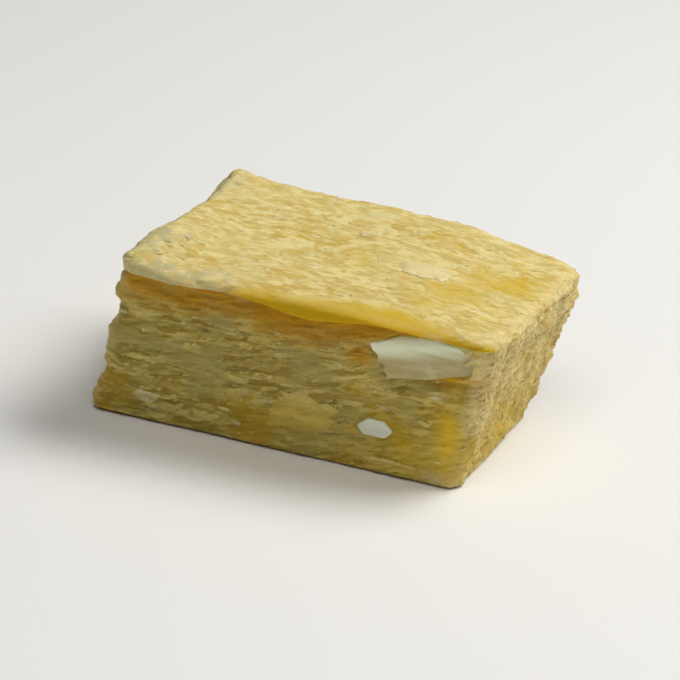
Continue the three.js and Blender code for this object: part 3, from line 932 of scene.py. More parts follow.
def make_torn_flakes(material):
    """The torn flakes that lie on the block, at the places that the solid has them."""
    draw = SeededDraw(FLAKE_SEED)
    flakes = []
    for at, size, turn, pale, gold in LARGE_FLAKES:
        rim = flake_outline(*size, draw, 30 + len(flakes))
        proud = TOP_FLAKE_PROUD if at[2] == 1 else LARGE_FLAKE_PROUD
        flakes.append((at, rim, turn, proud, 0.6, pale, gold))
    flakes += strewn_flakes(draw)
    block = bpy.data.objects["papdi_layers"]
    tree = BVHTree.FromObject(block, bpy.context.evaluated_depsgraph_get())
    points, faces, skirts, numbers = [], [], [], []
    start = 0
    for salt, (at, rim, turn, proud, tone, pale, gold) in enumerate(flakes, 70):
        rim = rim @ np.array(Matrix.Rotation(turn, 2)).T
        fringed = TOP_FLAKE_FRINGE if at[2] == 1 else FLAKE_FRINGE
        plate, plate_faces, skirt = flake_plate(rim, proud, fringed, salt)
        placed = laid_on(tree, plate, face_frame(*at))
        points.append(placed)
        faces += [[start + corner for corner in face] for face in plate_faces]
        skirts.append(skirt)
        start += len(plate)
        on_top, on_end, on_front = at[2] == 1, at[0] == 1, at[1] == -1
        # Flakes on the back and the left end take the top's colours as far as those sides do, out of the
        # sides' painted shade
        pressed = 1.0 if on_top else FRONT_FLAKE_PALENESS if on_front else PAINTED_SHADE_LIFT
        same = np.tile((tone, pressed, float(on_end), gold), (len(plate), 1))
        level = layer_level(placed[:, 0], placed[:, 2])
        ring = (np.arange(len(plate)) - 1) // len(rim)
        head = smooth(plate[:, 1] / plate[:, 1].max(), 0.1, 0.9)
        # Painted highlight: a pale ring near the edge of each flake on the top, and a pale head on the front
        # flake, where the light catches them
        sugar = pale + 0.12 * on_top * (ring == len(FLAKE_RINGS) - 3) + 0.13 * on_front * head
        # Painted shade, in amber, along the outer edge of the flakes on the top
        edge = 0.6 * on_top * (ring >= len(FLAKE_RINGS) - 1)
        numbers.append(np.column_stack([same, level, sugar, edge]))
    points = np.concatenate(points)
    piece = piece_from("torn_flakes", points, faces, material, "papdi_block")
    piece.data.polygons.foreach_set("use_smooth", ~np.concatenate(skirts))
    store(piece.data, dict(zip(FLAKE_NUMBERS, np.concatenate(numbers).T)))


# Strewn threads, papery flakes and crumbs


def add_thread(desk):
    """A thread one metre long and thick, along x, in a few straight stretches."""
    inputs = {"Vertices": 5, "Side Segments": 7, "Radius": 0.5, "Depth": 1.0}
    rod = desk.add("GeometryNodeMeshCylinder", inputs).outputs["Mesh"]
    turn = {"Geometry": rod, "Rotation": (0.0, math.pi / 2, 0.0)}
    return desk.add("GeometryNodeTransform", turn).outputs[0]


def add_lens(desk):
    """A round lens one metre across, which pressed flat is a papery flake."""
    inputs = {"Segments": 8, "Rings": 5, "Radius": 0.5}
    return desk.add("GeometryNodeMeshUVSphere", inputs).outputs["Mesh"]


def add_lump(desk):
    """A lump one metre across with few corners, for crumbs."""
    return desk.add("GeometryNodeMeshIcoSphere", {"Radius": 0.5, "Subdivisions": 2}).outputs["Mesh"]


# Inputs of the strewing tree, by kind
STREWN_INPUTS = {
    "Object": ("Block", "Chip"),
    "String": ("Where",),
    "Float": ("Density", "Sink", "Dryness", "Bend", "Wave", "Flatness"),
    "Vector": ("Smallest", "Largest", "Turn"),
    "Int": ("Seed",),
    "Material": ("Material",),
}


def strewn_tree(name, add_shape):
    """A node tree that strews a shape over the sweet, turned along its strands, each one bent in its way."""
    tree = bpy.data.node_groups.new(name, "GeometryNodeTree")
    for kind, labels in STREWN_INPUTS.items():
        for label in labels:
            tree.interface.new_socket(label, in_out="INPUT", socket_type="NodeSocket" + kind)
    tree.interface.new_socket("Geometry", in_out="OUTPUT", socket_type="NodeSocketGeometry")
    desk = NodeDesk(tree)
    given = desk.add("NodeGroupInput").outputs
    seed = given["Seed"]
    joined = desk.add("GeometryNodeJoinGeometry")
    for label in ("Block", "Chip"):
        source = desk.add("GeometryNodeObjectInfo", {"Object": given[label]})
        tree.links.new(source.outputs["Geometry"], joined.inputs[0])
    density = desk.times(desk.named("FLOAT", given["Where"]), given["Density"])
    inputs = {"Mesh": joined.outputs[0], "Density": density, "Seed": seed}
    places = desk.add("GeometryNodeDistributePointsOnFaces", inputs).outputs
    sunk = desk.scaled(places["Normal"], desk.times(given["Sink"], -1.0))
    points = desk.add("GeometryNodeSetPosition", {"Geometry": places["Points"], "Offset": sunk}).outputs[0]
    inputs = {"Vector": desk.named("FLOAT_VECTOR", "strand")}
    along = desk.add("FunctionNodeAlignRotationToVector", inputs, axis="X").outputs[0]
    inputs = {"Rotation": along, "Vector": places["Normal"]}
    flat = desk.add("FunctionNodeAlignRotationToVector", inputs, axis="Z", pivot_axis="X").outputs[0]
    turn = desk.random_vector(desk.scaled(given["Turn"], -1.0), given["Turn"], seed, 1)
    turn = desk.add("FunctionNodeEulerToRotation", {0: turn}).outputs[0]
    inputs = {"Rotation": flat, "Rotate By": turn}
    turned = desk.add("FunctionNodeRotateRotation", inputs, rotation_space="LOCAL").outputs[0]
    size = desk.random_vector(given["Smallest"], given["Largest"], seed, 2)
    inputs = {"Points": points, "Instance": add_shape(desk), "Rotation": turned, "Scale": size}
    shapes = desk.add("GeometryNodeInstanceOnPoints", inputs).outputs[0]
    shapes = desk.keep(shapes, "tone", desk.random(seed, 3))
    shapes = desk.keep(shapes, "outwards", places["Normal"], "FLOAT_VECTOR")
    dry = desk.times(desk.math("POWER", desk.random(seed, 4), 2.0), given["Dryness"])
    shapes = desk.keep(shapes, "sugar", desk.math("MAXIMUM", dry, desk.named("FLOAT", "sugar")))
    mesh = desk.add("GeometryNodeRealizeInstances", {0: shapes}).outputs[0]
    inputs = {
        "Vector": desk.add("GeometryNodeInputPosition").outputs[0],
        "W": desk.times(desk.named("FLOAT", "tone"), 50.0),
        "Scale": desk.math("DIVIDE", 1.0, given["Wave"]),
        "Detail": 1.0,
    }
    waves = desk.add("ShaderNodeTexNoise", inputs, noise_dimensions="4D").outputs["Color"]
    swing = desk.vector("SUBTRACT", waves, (0.5, 0.5, 0.5))
    outwards = desk.named("FLOAT_VECTOR", "outwards")
    rise = desk.times(desk.vector("DOT_PRODUCT", swing, outwards, "Value"), given["Flatness"])
    level = desk.vector("SUBTRACT", swing, desk.scaled(outwards, rise))
    inputs = {"Geometry": mesh, "Offset": desk.scaled(level, given["Bend"])}
    mesh = desk.add("GeometryNodeSetPosition", inputs).outputs[0]
    mesh = desk.add("GeometryNodeSetShadeSmooth", {0: mesh}).outputs[0]
    inputs = {"Geometry": mesh, "Material": given["Material"]}
    mesh = desk.add("GeometryNodeSetMaterial", inputs).outputs[0]
    desk.add("NodeGroupOutput", {0: mesh})
    return tree


def strew(name, add_shape, **values):
    """Runs a strewing tree over the block and the large chip, and keeps the result as a plain piece.

    Nothing lands on the chip, because only the block's points say where things lie."""
    tree = strewn_tree(name, add_shape)
    maker = bpy.data.objects.new(name + "_maker", bpy.data.meshes.new(name + "_maker"))
    modifier = maker.modifiers.new("strewn", "NODES")
    modifier.node_group = tree
    values["Block"] = bpy.data.objects["papdi_layers"]
    values["Chip"] = bpy.data.objects["almond_large"]
    values["Material"] = bpy.data.materials["loose_sweet"]
    for socket in tree.interface.items_tree:
        if socket.in_out == "INPUT":
            modifier[socket.identifier] = values[socket.name]
    mesh = baked(maker, name)
    if not mesh.polygons:
        raise RuntimeError(f"nothing was strewn for {name}")
    add_piece(name, mesh, "papdi_block")


PER_SQUARE_CENTIMETRE = 1e4


def make_threads(settings):
    """Thin pulled threads that lie along the layers."""
    length, width = settings.thread_length, settings.thread_width
    strew(
        "pulled_threads",
        add_thread,
        Where="stringy",
        Density=settings.threads * PER_SQUARE_CENTIMETRE,
        Smallest=(0.25 * length, 0.6 * width, 0.5 * width),
        Largest=(length, width, 0.8 * width),
        Turn=(0.0, 0.0, 0.14),
        Sink=0.2 * width,
        Dryness=0.35,
        Bend=0.5 * MM,
        Wave=2.2 * MM,
        Flatness=0.85,
        Seed=settings.seed,
    )


def make_papery_flakes(settings):
    """Small papery flakes that lie on the top and the sides."""
    size, thickness = settings.flake_size, settings.flake_thickness
    strew(
        "papery_flakes",
        add_lens,
        Where="flaky",
        Density=settings.flakes * PER_SQUARE_CENTIMETRE,
        Smallest=(0.3 * size, 0.12 * size, 0.6 * thickness),
        Largest=(size, 0.35 * size, thickness),
        Turn=(0.02, 0.02, 0.5),
        Sink=0.32 * thickness,
        Dryness=0.5,
        Bend=0.9 * MM,
        Wave=0.7 * MM,
        Flatness=0.95,
        Seed=settings.seed + 10,
    )


def make_crumbs(settings):
    """Crumbs and sugar grains, most of them on the broken end and along the lower edge."""
    size = settings.crumb_size
    strew(
        "crumbs",
        add_lump,
        Where="crumbly",
        Density=settings.crumbs * PER_SQUARE_CENTIMETRE,
        Smallest=(0.3 * size, 0.25 * size, 0.2 * size),
        Largest=(size, 0.8 * size, 0.5 * size),
        Turn=(0.3, 0.3, 3.0),
        Sink=0.08 * size,
        Dryness=0.45,
        Bend=0.3 * MM,
        Wave=0.35 * MM,
        Flatness=0.3,
        Seed=settings.seed + 20,
    )


# Materials

# How far the strands of the top swing to and fro, in millimetres, and how often for each metre
STRAND_SWIRL = 4.5
SWIRLS = 120.0


class NodeDesk:
    """Short ways to add nodes to a tree and link them."""

    def __init__(self, tree):
        self.tree = tree

    def add(self, kind, inputs=None, **settings):
        """A node with its settings, and each input set to a value or linked to a socket."""
        node = self.tree.nodes.new(kind)
        for name, value in settings.items():
            setattr(node, name, value)
        return self.fill(node, inputs or {})

    def fill(self, node, inputs):
        """Sets a node's inputs to values, or links them to sockets."""
        for name, value in inputs.items():
            if isinstance(value, bpy.types.NodeSocket):
                self.tree.links.new(value, node.inputs[name])
            else:
                node.inputs[name].default_value = value
        return node

    def attribute(self, name):
        """One of the numbers kept on the mesh."""
        return self.add("ShaderNodeAttribute", attribute_name=name).outputs["Fac"]

    def named(self, kind, name):
        """A number or direction kept on the geometry."""
        node = self.add("GeometryNodeInputNamedAttribute", {"Name": name}, data_type=kind)
        return node.outputs["Attribute"]

    def keep(self, shapes, name, value, kind="FLOAT"):
        """Keeps one number or direction on each instance."""
        node = self.add("GeometryNodeStoreNamedAttribute", data_type=kind, domain="INSTANCE")
        inputs = {"Geometry": shapes, "Name": name, "Value": value}
        return self.fill(node, inputs).outputs[0]

    def random(self, seed, turn):
        """A random number from 0 to 1 for each point or instance."""
        inputs = {2: 0.0, 3: 1.0, 8: self.math("MULTIPLY_ADD", seed, 10.0, float(turn))}
        return self.add("FunctionNodeRandomValue", inputs, data_type="FLOAT").outputs[1]

    def random_vector(self, low, high, seed, turn):
        """A random vector between two for each point."""
        inputs = {0: low, 1: high, 8: self.math("MULTIPLY_ADD", seed, 10.0, float(turn))}
        return self.add("FunctionNodeRandomValue", inputs, data_type="FLOAT_VECTOR").outputs[0]

    def scaled(self, vector, factor):
        """A vector made longer or shorter."""
        return self.add("ShaderNodeVectorMath", {0: vector, 3: factor}, operation="SCALE").outputs[0]

    def vector(self, operation, first, second, output=0):
        """A sum on two vectors."""
        node = self.add("ShaderNodeVectorMath", {0: first, 1: second}, operation=operation)
        return node.outputs[output]

    def math(self, operation, first, second=0.0, third=0.0):
        """A sum on one, two or three numbers."""
        inputs = {0: first, 1: second, 2: third}
        return self.add("ShaderNodeMath", inputs, operation=operation).outputs[0]

    def times(self, first, second):
        """Two numbers multiplied."""
        return self.math("MULTIPLY", first, second)

    def weighed(self, *parts):
        """Numbers added up, each with its weight."""
        total = 0.0
        for number, weight in parts:
            total = self.math("MULTIPLY_ADD", number, weight, total)
        return total

    def mix(self, share, first, second):
        """A colour between two, each one a socket or three numbers."""
        ends = [end if isinstance(end, bpy.types.NodeSocket) else (*end, 1.0) for end in (first, second)]
        inputs = {0: share, 6: ends[0], 7: ends[1]}
        return self.add("ShaderNodeMix", inputs, data_type="RGBA").outputs[2]

    def range(self, value, low, high, start=0.0, end=1.0):
        """A number eased from one range to another."""
        inputs = {0: value, 1: low, 2: high, 3: start, 4: end}
        return self.add("ShaderNodeMapRange", inputs, interpolation_type="SMOOTHSTEP").outputs[0]

    def noise(self, vector, scale, detail=3.0, roughness=0.55):
        """Noise from 0 to 1 over a vector."""
        inputs = {"Vector": vector, "Scale": scale, "Detail": detail, "Roughness": roughness}
        return self.add("ShaderNodeTexNoise", inputs).outputs["Fac"]

    def place(self):
        """Object coordinates."""
        return self.add("ShaderNodeTexCoord").outputs["Object"]

    def stretched(self, place, x, y, z):
        """Coordinates stretched by a number of steps for each metre along each axis."""
        return self.add("ShaderNodeMapping", {"Vector": place, "Scale": (x, y, z)}).outputs[0]

    def bump(self, height, strength, distance):
        """A normal turned by fine relief."""
        inputs = {"Height": height, "Strength": strength, "Distance": distance}
        return self.add("ShaderNodeBump", inputs).outputs[0]


def new_material(name):
    """An empty material with its desk and its shader."""
    material = bpy.data.materials.new(name)
    material.use_nodes = True
    desk = NodeDesk(material.node_tree)
    shader = material.node_tree.nodes["Principled BSDF"]
    return material, desk, shader


def matted(desk, x, y, z):
    """Coordinates stretched along strands that turn this way and that."""
    place = desk.place()
    inputs = {"Vector": place, "Scale": SWIRLS, "Detail": 1.0}
    swirl = desk.add("ShaderNodeTexNoise", inputs).outputs["Color"]
    turned = desk.vector("ADD", desk.scaled(swirl, STRAND_SWIRL * MM), place)
    return desk.stretched(turned, x, y, z)


def along_layers(desk, run, pitch):
    """Coordinates that run long along the layers of the sides and short across them, wandering a little."""
    place = desk.place()
    parts = desk.add("ShaderNodeSeparateXYZ", {0: place}).outputs
    level = desk.math("MULTIPLY_ADD", desk.noise(place, 330, 2), 2.0, desk.attribute("level"))
    inputs = {0: desk.times(parts[0], run), 1: desk.times(parts[1], run), 2: desk.times(level, pitch)}
    return desk.add("ShaderNodeCombineXYZ", inputs).outputs[0]


def sweet_material(name, settings, see_through):
    """The sweet: pale pressed top, fibrous cut sides partly darkened as painted shade, gold where the crust
    is densest and as painted light at the front right, amber that is mostly painted shade and glow, white
    where dry.
    """
    material, desk, shader = new_material(name)
    place = desk.place()
    tone, pressed = desk.attribute("tone"), desk.attribute("pressed")
    cloud = desk.noise(place, 130, 4)
    patch = desk.noise(place, 340, 3)
    speck = desk.noise(place, 2600, 2)
    strands = matted(desk, 460, 1200, 1000)
    streak = desk.noise(strands, 1, 4)
    strand = desk.noise(strands, 2.2, 2)
    fibre = desk.noise(along_layers(desk, 300, 1.7), 1, 4, 0.6)
    hair = desk.noise(along_layers(desk, 520, 4.5), 1, 2)
    butter = desk.mix(desk.range(cloud, 0.36, 0.66), settings.tan, settings.butter)
    butter = desk.mix(desk.range(patch, 0.55, 0.75, 0.0, 0.5), butter, settings.tan)
    lightness = desk.weighed((streak, 0.8), (tone, 0.3), (strand, 0.35))
    top = desk.mix(desk.range(lightness, 0.54, 0.92), butter, settings.pale)
    thread = desk.weighed((tone, 0.35), (fibre, 0.7), (hair, 0.3))
    # The cut sides' fibre colours, darker than the sweet itself as painted shade for the front
    side = desk.mix(desk.range(thread, 0.46, 0.92), settings.fibre_dark, settings.fibre_pale)
    side = desk.mix(desk.range(cloud, 0.5, 0.62, 0.0, 0.7), side, settings.fibre_grey)
    side = desk.mix(desk.range(cloud, 0.36, 0.46, 0.7, 0.0), side, settings.fibre_gold)
    grains = desk.weighed((patch, 0.55), (hair, 0.45))
    crumb = desk.mix(desk.range(grains, 0.4, 0.6), settings.crumb_dark, settings.crumb_pale)
    crumb = desk.mix(desk.range(speck, 0.5, 0.66, 0.0, 0.4), crumb, settings.sugar)
    gilded = desk.times(pressed, desk.range(cloud, 0.38, 0.28, 0.0, 0.5))
    gold = desk.math("MAXIMUM", desk.attribute("gold"), gilded)
    # Amber: mostly painted shade and glow under the lip
    amber = desk.times(desk.attribute("amber"), desk.range(fibre, 0.25, 0.6, 1.0, 0.88))
    # Gold and amber together: the amber in it is mostly painted shade and glow
    gold_and_amber = desk.math("MAXIMUM", gold, amber)
    dry = desk.times(desk.attribute("sugar"), desk.range(speck, 0.3, 0.6, 0.6, 1.0))
    fleck = desk.range(desk.noise(desk.stretched(place, 700, 1200, 1400), 1, 1), 0.7, 0.78, 0.0, 0.4)
    grey = desk.range(desk.noise(place, 700, 4), 0.42, 0.56, 0.1, 1.0)
    coats = (
        # the top's colours, also on the back and the left end out of the sides' painted shade, and as
        # painted light at the front right edge
        (desk.range(pressed, 0.25, 0.8), top),
        (desk.times(desk.attribute("broken"), 0.85), crumb),
        (gold, settings.gold),
        # painted light in gold at the front right edge
        (desk.attribute("lit"), settings.lit_gold),
        # amber: painted shade and glow under the lip, painted shadow below the large chip and the raised
        # flake, and a few spots of its own
        (amber, settings.amber),
        (dry, settings.sugar),
        (desk.times(fleck, desk.range(gold_and_amber, 0.1, 0.5, 1.0, 0.0)), settings.sugar),
        (desk.times(desk.attribute("speckled"), grey), settings.speckle),
        (desk.range(speck, 0.24, 0.34, 0.1, 0.0), settings.seam),
    )
    colour = side
    for share, coat in coats:
        colour = desk.mix(share, colour, coat)
    relief = desk.weighed((fibre, 0.9), (speck, 0.4), (hair, 0.6), (strand, 0.6))
    finish = {
        "Base Color": colour,
        "Roughness": desk.range(speck, 0.3, 0.7, 0.5, 0.72),
        "Normal": desk.bump(relief, 0.4, 0.12 * MM),
        "Specular IOR Level": desk.range(gold_and_amber, 0.0, 0.8, 0.18, 0.05),
        "Subsurface Weight": see_through,
        "Subsurface Radius": settings.glow_reach,
        "Subsurface Scale": settings.glow_depth,
    }
    desk.fill(shader, finish)
    return material


def almond_material(settings):
    """Almond: the large chip white at its top and duller lower down, as painted light from above, the small
    chip a fixed mix; satin, with faint lines along it.
    """
    material, desk, shader = new_material("almond_white")
    place = desk.place()
    lines = desk.noise(desk.stretched(place, 120, 500, 1500), 1, 3)
    cloud = desk.noise(place, 420, 3)
    # Painted light: whiter towards the large chip's top, with faint lines; the small chip a fixed share
    fresh = desk.math("ADD", desk.attribute("fresh"), desk.range(lines, 0.3, 0.7, -0.15, 0.15))
    colour = desk.mix(fresh, settings.dull, settings.white)
    colour = desk.mix(desk.range(cloud, 0.5, 0.75, 0.0, 0.3), colour, settings.green)
    finish = {
        "Base Color": desk.mix(desk.attribute("cool"), colour, settings.cool),
        "Roughness": desk.range(cloud, 0.3, 0.7, 0.36, 0.5),
        "Normal": desk.bump(lines, 0.25, 0.1 * MM),
        "Subsurface Weight": 0.25,
        "Subsurface Radius": (1.0, 0.9, 0.7),
        "Subsurface Scale": 0.8 * MM,
    }
    desk.fill(shader, finish)
    return material


def floor_material(settings):
    """A plain pale floor, with a hardly visible unevenness."""
    material, desk, shader = new_material("pale_floor")
    cloud = desk.noise(desk.place(), 14, 2)
    low = [0.985 * part for part in settings.floor]
    colour = desk.mix(cloud, low, settings.floor)
    desk.fill(shader, {"Base Color": colour, "Roughness": 0.7, "Specular IOR Level": 0.2})
    return material


# Stage

# The camera's place and the way it is turned, measured on the block's corners
CAMERA_PLACE = Vector((73.24, -317.71, 145.26)) + Vector(TO_BASE_MIDDLE)
CAMERA_DOWN = Vector((0.2269, -0.371, -0.9005))
CAMERA_AIM = Vector((0.6, -0.8, 10.0))
FLOOR_HALF = 1.5

# Where the lights stand, what they point at and their tint
KEY_PLACE = Vector((0.295, 0.21, 0.525))
FRONT_PLACE = Vector((0.0, -0.32, 0.55))
LOW_PLACE = Vector((0.08, -0.36, 0.04))
LIGHT_AIM = Vector((0.0, 0.0, 0.01))
LIGHT_TINT = (1.0, 0.98, 0.95)


def add_area_light(name, place, power, size):
    """A soft square light that points at the block."""
    data = bpy.data.lights.new(name, "AREA")
    data.energy = power
    data.size = size
    data.color = LIGHT_TINT
    light = bpy.data.objects.new(name, data)
    light.location = place
    light.rotation_euler = (LIGHT_AIM - place).to_track_quat("-Z", "Y").to_euler()
    bpy.context.scene.collection.objects.link(light)


def make_stage(settings):
    """A pale floor, soft light from above and behind on the right, and the camera at the photo's angle."""
    half = FLOOR_HALF
    mesh = bpy.data.meshes.new("floor")
    corners = [(-half, -half, 0), (half, -half, 0), (half, half, 0), (-half, half, 0)]
    mesh.from_pydata(corners, [], [(0, 1, 2, 3)])
    mesh.materials.append(floor_material(settings))
    floor = bpy.data.objects.new("floor", mesh)
    bpy.context.scene.collection.objects.link(floor)
    add_area_light("key", KEY_PLACE, settings.key_power, settings.key_size)
    add_area_light("front", FRONT_PLACE, settings.front_power, settings.key_size)
    add_area_light("low", LOW_PLACE, settings.low_power, settings.low_size)
    world = bpy.data.worlds.new("studio")
    world.use_nodes = True
    background = world.node_tree.nodes["Background"]
    background.inputs["Color"].default_value = (1.0, 1.0, 1.0, 1.0)
    background.inputs["Strength"].default_value = settings.room_light
    scene = bpy.context.scene
    scene.world = world
    scene.view_settings.view_transform = "Standard"
    data = bpy.data.cameras.new("camera")
    data.lens = settings.lens
    data.sensor_width = 36.0
    camera = bpy.data.objects.new("camera", data)
    place = CAMERA_PLACE * MM
    back = (place - CAMERA_AIM * MM).normalized()
    right = back.cross(CAMERA_DOWN).normalized()
    up = back.cross(right)
    camera.matrix_world = Matrix.Translation(place) @ Matrix((right, up, back)).transposed().to_4x4()
    scene.collection.objects.link(camera)
    scene.camera = camera


# Settings


def count_of(name, description, default):
    """A whole number that a user may change."""
    return bpy.props.IntProperty(name=name, description=description, default=default)


def number_of(name, description, default, unit="NONE"):
    """A number that a user may change."""
    return bpy.props.FloatProperty(name=name, description=description, default=default, unit=unit)


def length_of(name, description, millimetres):
    """A length that a user may change."""
    return number_of(name, description, millimetres * MM, "LENGTH")


def colour_of(name, description, default, subtype="COLOR"):
    """A colour, or three numbers like it, that a user may change."""
    told = {"name": name, "description": description, "subtype": subtype}
    return bpy.props.FloatVectorProperty(default=default, min=0.0, max=1.0, **told)


class SweetSettings(bpy.types.PropertyGroup):
    """Sizes and colours of the sweet."""

    seed: count_of("Seed", "Chooses the shreds and flakes", 4)
    shred_count: count_of("Shreds", "Shreds on the sides", 4200)
    shred_length: length_of("Shred length", "Longest shred on the sides", 7.0)
    shred_width: length_of("Shred width", "Widest shred on the sides", 0.9)
    shred_depth: length_of("Shred depth", "Thickest shred on the sides", 0.3)
    pressed_count: count_of("Pressed flakes", "Flakes in the top", 1900)
    pressed_length: length_of("Pressed flake length", "Longest flake pressed into the top", 4.6)
    pressed_depth: length_of("Pressed flake depth", "Thickest flake pressed into the top", 0.09)
    crumb_relief: length_of("Crumb relief", "Roughness of the broken end", 0.08)
    pale: colour_of("Pale", "Lightest flakes of the top", (0.73, 0.62, 0.275))
    butter: colour_of("Butter", "Main colour of the top", (0.605, 0.468, 0.15))
    tan: colour_of("Tan", "Browner clouds of the top", (0.545, 0.38, 0.088))
    # The fibre colours of the cut sides are darker and more saturated than the sweet itself: painted shade
    # for the front, lifted in part on the back and the left end
    fibre_pale: colour_of("Pale fibre", "Lighter fibres of the cut sides", (0.64, 0.52, 0.165))
    fibre_dark: colour_of("Dark fibre", "Darker fibres of the cut sides", (0.27, 0.19, 0.02))
    fibre_grey: colour_of("Grey fibre", "Dry clouds of the cut sides", (0.40, 0.335, 0.105))
    fibre_gold: colour_of("Gold fibre", "Dense clouds of the cut sides", (0.40, 0.26, 0.015))
    crumb_pale: colour_of("Pale crumb", "Lighter crumbs of the broken end", (0.75, 0.60, 0.26))
    crumb_dark: colour_of("Dark crumb", "Darker crumbs of the broken end", (0.56, 0.38, 0.10))
    gold: colour_of("Gold", "Dense, clear parts of the crust", (0.56, 0.375, 0.008))
    # Lit gold is painted light at the front right edge
    lit_gold: colour_of("Lit gold", "The clear edge at the front right", (0.70, 0.475, 0.03))
    # Amber is mostly painted shade and glow under the lip, with painted shadow below the large chip and the
    # raised flake, and a few spots of the sweet's own amber
    amber: colour_of("Amber", "The hollow under the lip", (0.60, 0.305, 0.012))
    sugar: colour_of("Sugar", "Dry sugar and white flecks", (0.81, 0.74, 0.47))
    speckle: colour_of("Speckle", "Grey cast of the left rim", (0.455, 0.425, 0.225))
    seam: colour_of("Seam", "Fine dark gaps", (0.22, 0.15, 0.04))
    see_through: number_of("See-through", "Share of light let in", 0.8)
    glow_reach: colour_of("Glow reach", "How far each colour spreads inside", (1.0, 0.62, 0.2), "NONE")
    glow_depth: length_of("Glow depth", "How far light spreads inside", 0.9)


class StrewnSettings(bpy.types.PropertyGroup):
    """How many threads, papery flakes and crumbs lie on the sweet, and their sizes."""

    seed: count_of("Seed", "Chooses the places", 3)
    threads: number_of("Threads", "Threads on a square centimetre", 18.0)
    thread_length: length_of("Thread length", "Longest thread", 4.5)
    thread_width: length_of("Thread width", "Widest thread", 0.14)
    flakes: number_of("Flakes", "Flakes on a square centimetre", 26.0)
    flake_size: length_of("Flake size", "Longest papery flake", 2.0)
    flake_thickness: length_of("Flake thickness", "Thickest papery flake", 0.14)
    crumbs: number_of("Crumbs", "Crumbs on a square centimetre", 240.0)
    crumb_size: length_of("Crumb size", "Largest crumb", 0.6)


class AlmondSettings(bpy.types.PropertyGroup):
    """Colours of the almond chips."""

    # White and dull: the large chip runs from dull low down to white at its top as painted light from above;
    # the small chip takes a fixed share of white
    white: colour_of("White", "Freshly cut flesh", (0.94, 1.0, 0.74))
    dull: colour_of("Dull", "Flesh cut longer ago", (0.45, 0.35, 0.132))
    cool: colour_of("Cool", "Cast of the small chip", (0.58, 0.60, 0.54))
    green: colour_of("Green", "Faint green clouds", (0.84, 0.96, 0.67))


class StageSettings(bpy.types.PropertyGroup):
    """Floor, light and lens."""

    floor: colour_of("Floor", "Pale floor", (0.83, 0.83, 0.81))
    key_power: number_of("Key power", "Power of the soft light", 3.6)
    front_power: number_of("Front power", "Power of the light over the front", 1.18)
    low_power: number_of("Low power", "Power of the low light on the front", 0.06)
    key_size: length_of("Key size", "Side of the two lights above", 360.0)
    low_size: length_of("Low size", "Side of the low light", 200.0)
    room_light: number_of("Room light", "Light from all around", 0.12)
    lens: number_of("Lens", "Focal length in millimetres", 156.0)


# Operators


class SOANPAPDI_OT_block(bpy.types.Operator):
    """Make the layered block"""

    bl_idname = "soan_papdi.block"
    bl_label = "Block"

    def execute(self, context):
        settings = context.scene.papdi_sweet
        make_block(settings, sweet_material("flaky_sweet_layers", settings, settings.see_through))
        return {"FINISHED"}


class SOANPAPDI_OT_almond_chips(bpy.types.Operator):
    """Make the large and the small chip of almond"""

    bl_idname = "soan_papdi.almond_chips"
    bl_label = "Almond chips"

    def execute(self, context):
        make_almond_chips(almond_material(context.scene.papdi_almond))
        return {"FINISHED"}


class SOANPAPDI_OT_torn_flakes(bpy.types.Operator):
    """Make the torn flakes that lie on the block"""

    bl_idname = "soan_papdi.torn_flakes"
    bl_label = "Torn flakes"

    def execute(self, context):
        make_torn_flakes(sweet_material("loose_sweet", context.scene.papdi_sweet, 0.0))
        return {"FINISHED"}


class SOANPAPDI_OT_threads(bpy.types.Operator):
    """Make the pulled threads along the layers"""

    bl_idname = "soan_papdi.threads"
    bl_label = "Pulled threads"

    def execute(self, context):
        make_threads(context.scene.papdi_strewn)
        return {"FINISHED"}


class SOANPAPDI_OT_papery_flakes(bpy.types.Operator):
    """Make the papery flakes on the top and the sides"""

    bl_idname = "soan_papdi.papery_flakes"
    bl_label = "Papery flakes"

    def execute(self, context):
        make_papery_flakes(context.scene.papdi_strewn)
        return {"FINISHED"}


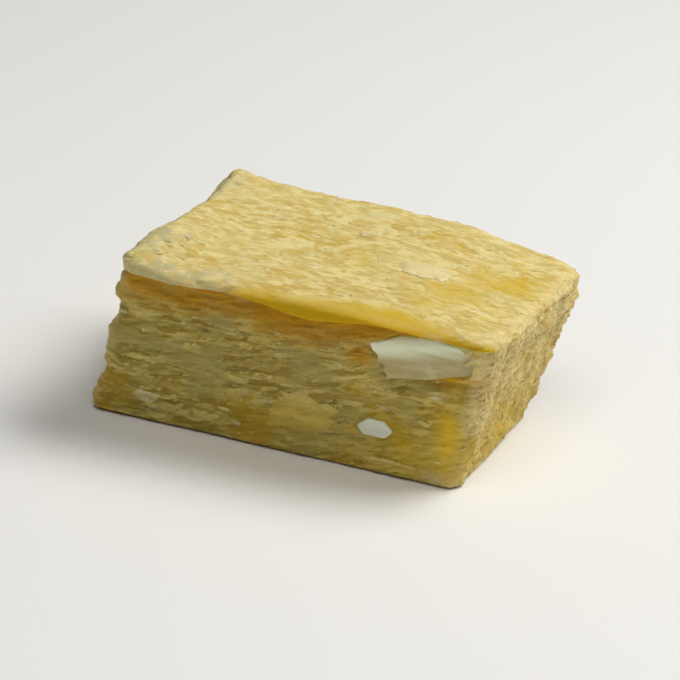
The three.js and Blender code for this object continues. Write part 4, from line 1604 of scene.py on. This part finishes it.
class SOANPAPDI_OT_crumbs(bpy.types.Operator):
    """Make the crumbs and sugar grains"""

    bl_idname = "soan_papdi.crumbs"
    bl_label = "Crumbs"

    def execute(self, context):
        make_crumbs(context.scene.papdi_strewn)
        return {"FINISHED"}


class SOANPAPDI_OT_stage(bpy.types.Operator):
    """Make the floor, the light and the camera"""

    bl_idname = "soan_papdi.stage"
    bl_label = "Stage"

    def execute(self, context):
        make_stage(context.scene.papdi_stage)
        return {"FINISHED"}


OPERATORS = (
    SOANPAPDI_OT_block,
    SOANPAPDI_OT_almond_chips,
    SOANPAPDI_OT_torn_flakes,
    SOANPAPDI_OT_threads,
    SOANPAPDI_OT_papery_flakes,
    SOANPAPDI_OT_crumbs,
    SOANPAPDI_OT_stage,
)


class SOANPAPDI_PT_panel(bpy.types.Panel):
    """Lists the settings and the operators"""

    bl_label = "Soan papdi"
    bl_idname = "SOANPAPDI_PT_panel"
    bl_space_type = "VIEW_3D"
    bl_region_type = "UI"
    bl_category = "Soan papdi"

    def draw(self, context):
        for group in SETTINGS:
            box = self.layout.box()
            settings = getattr(context.scene, group)
            for name in settings.__annotations__:
                box.prop(settings, name)
        for operator in OPERATORS:
            self.layout.operator(operator.bl_idname)


SETTINGS = {
    "papdi_sweet": SweetSettings,
    "papdi_strewn": StrewnSettings,
    "papdi_almond": AlmondSettings,
    "papdi_stage": StageSettings,
}


def register():
    for kind in (*SETTINGS.values(), *OPERATORS, SOANPAPDI_PT_panel):
        bpy.utils.register_class(kind)
    for name, kind in SETTINGS.items():
        setattr(bpy.types.Scene, name, bpy.props.PointerProperty(type=kind))


def unregister():
    for name in SETTINGS:
        delattr(bpy.types.Scene, name)
    for kind in (SOANPAPDI_PT_panel, *reversed(OPERATORS), *SETTINGS.values()):
        bpy.utils.unregister_class(kind)


def main():
    """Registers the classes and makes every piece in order."""
    register()
    bpy.ops.soan_papdi.block()
    bpy.ops.soan_papdi.almond_chips()
    bpy.ops.soan_papdi.torn_flakes()
    bpy.ops.soan_papdi.threads()
    bpy.ops.soan_papdi.papery_flakes()
    bpy.ops.soan_papdi.crumbs()
    bpy.ops.soan_papdi.stage()


if __name__ == "__main__":
    main()
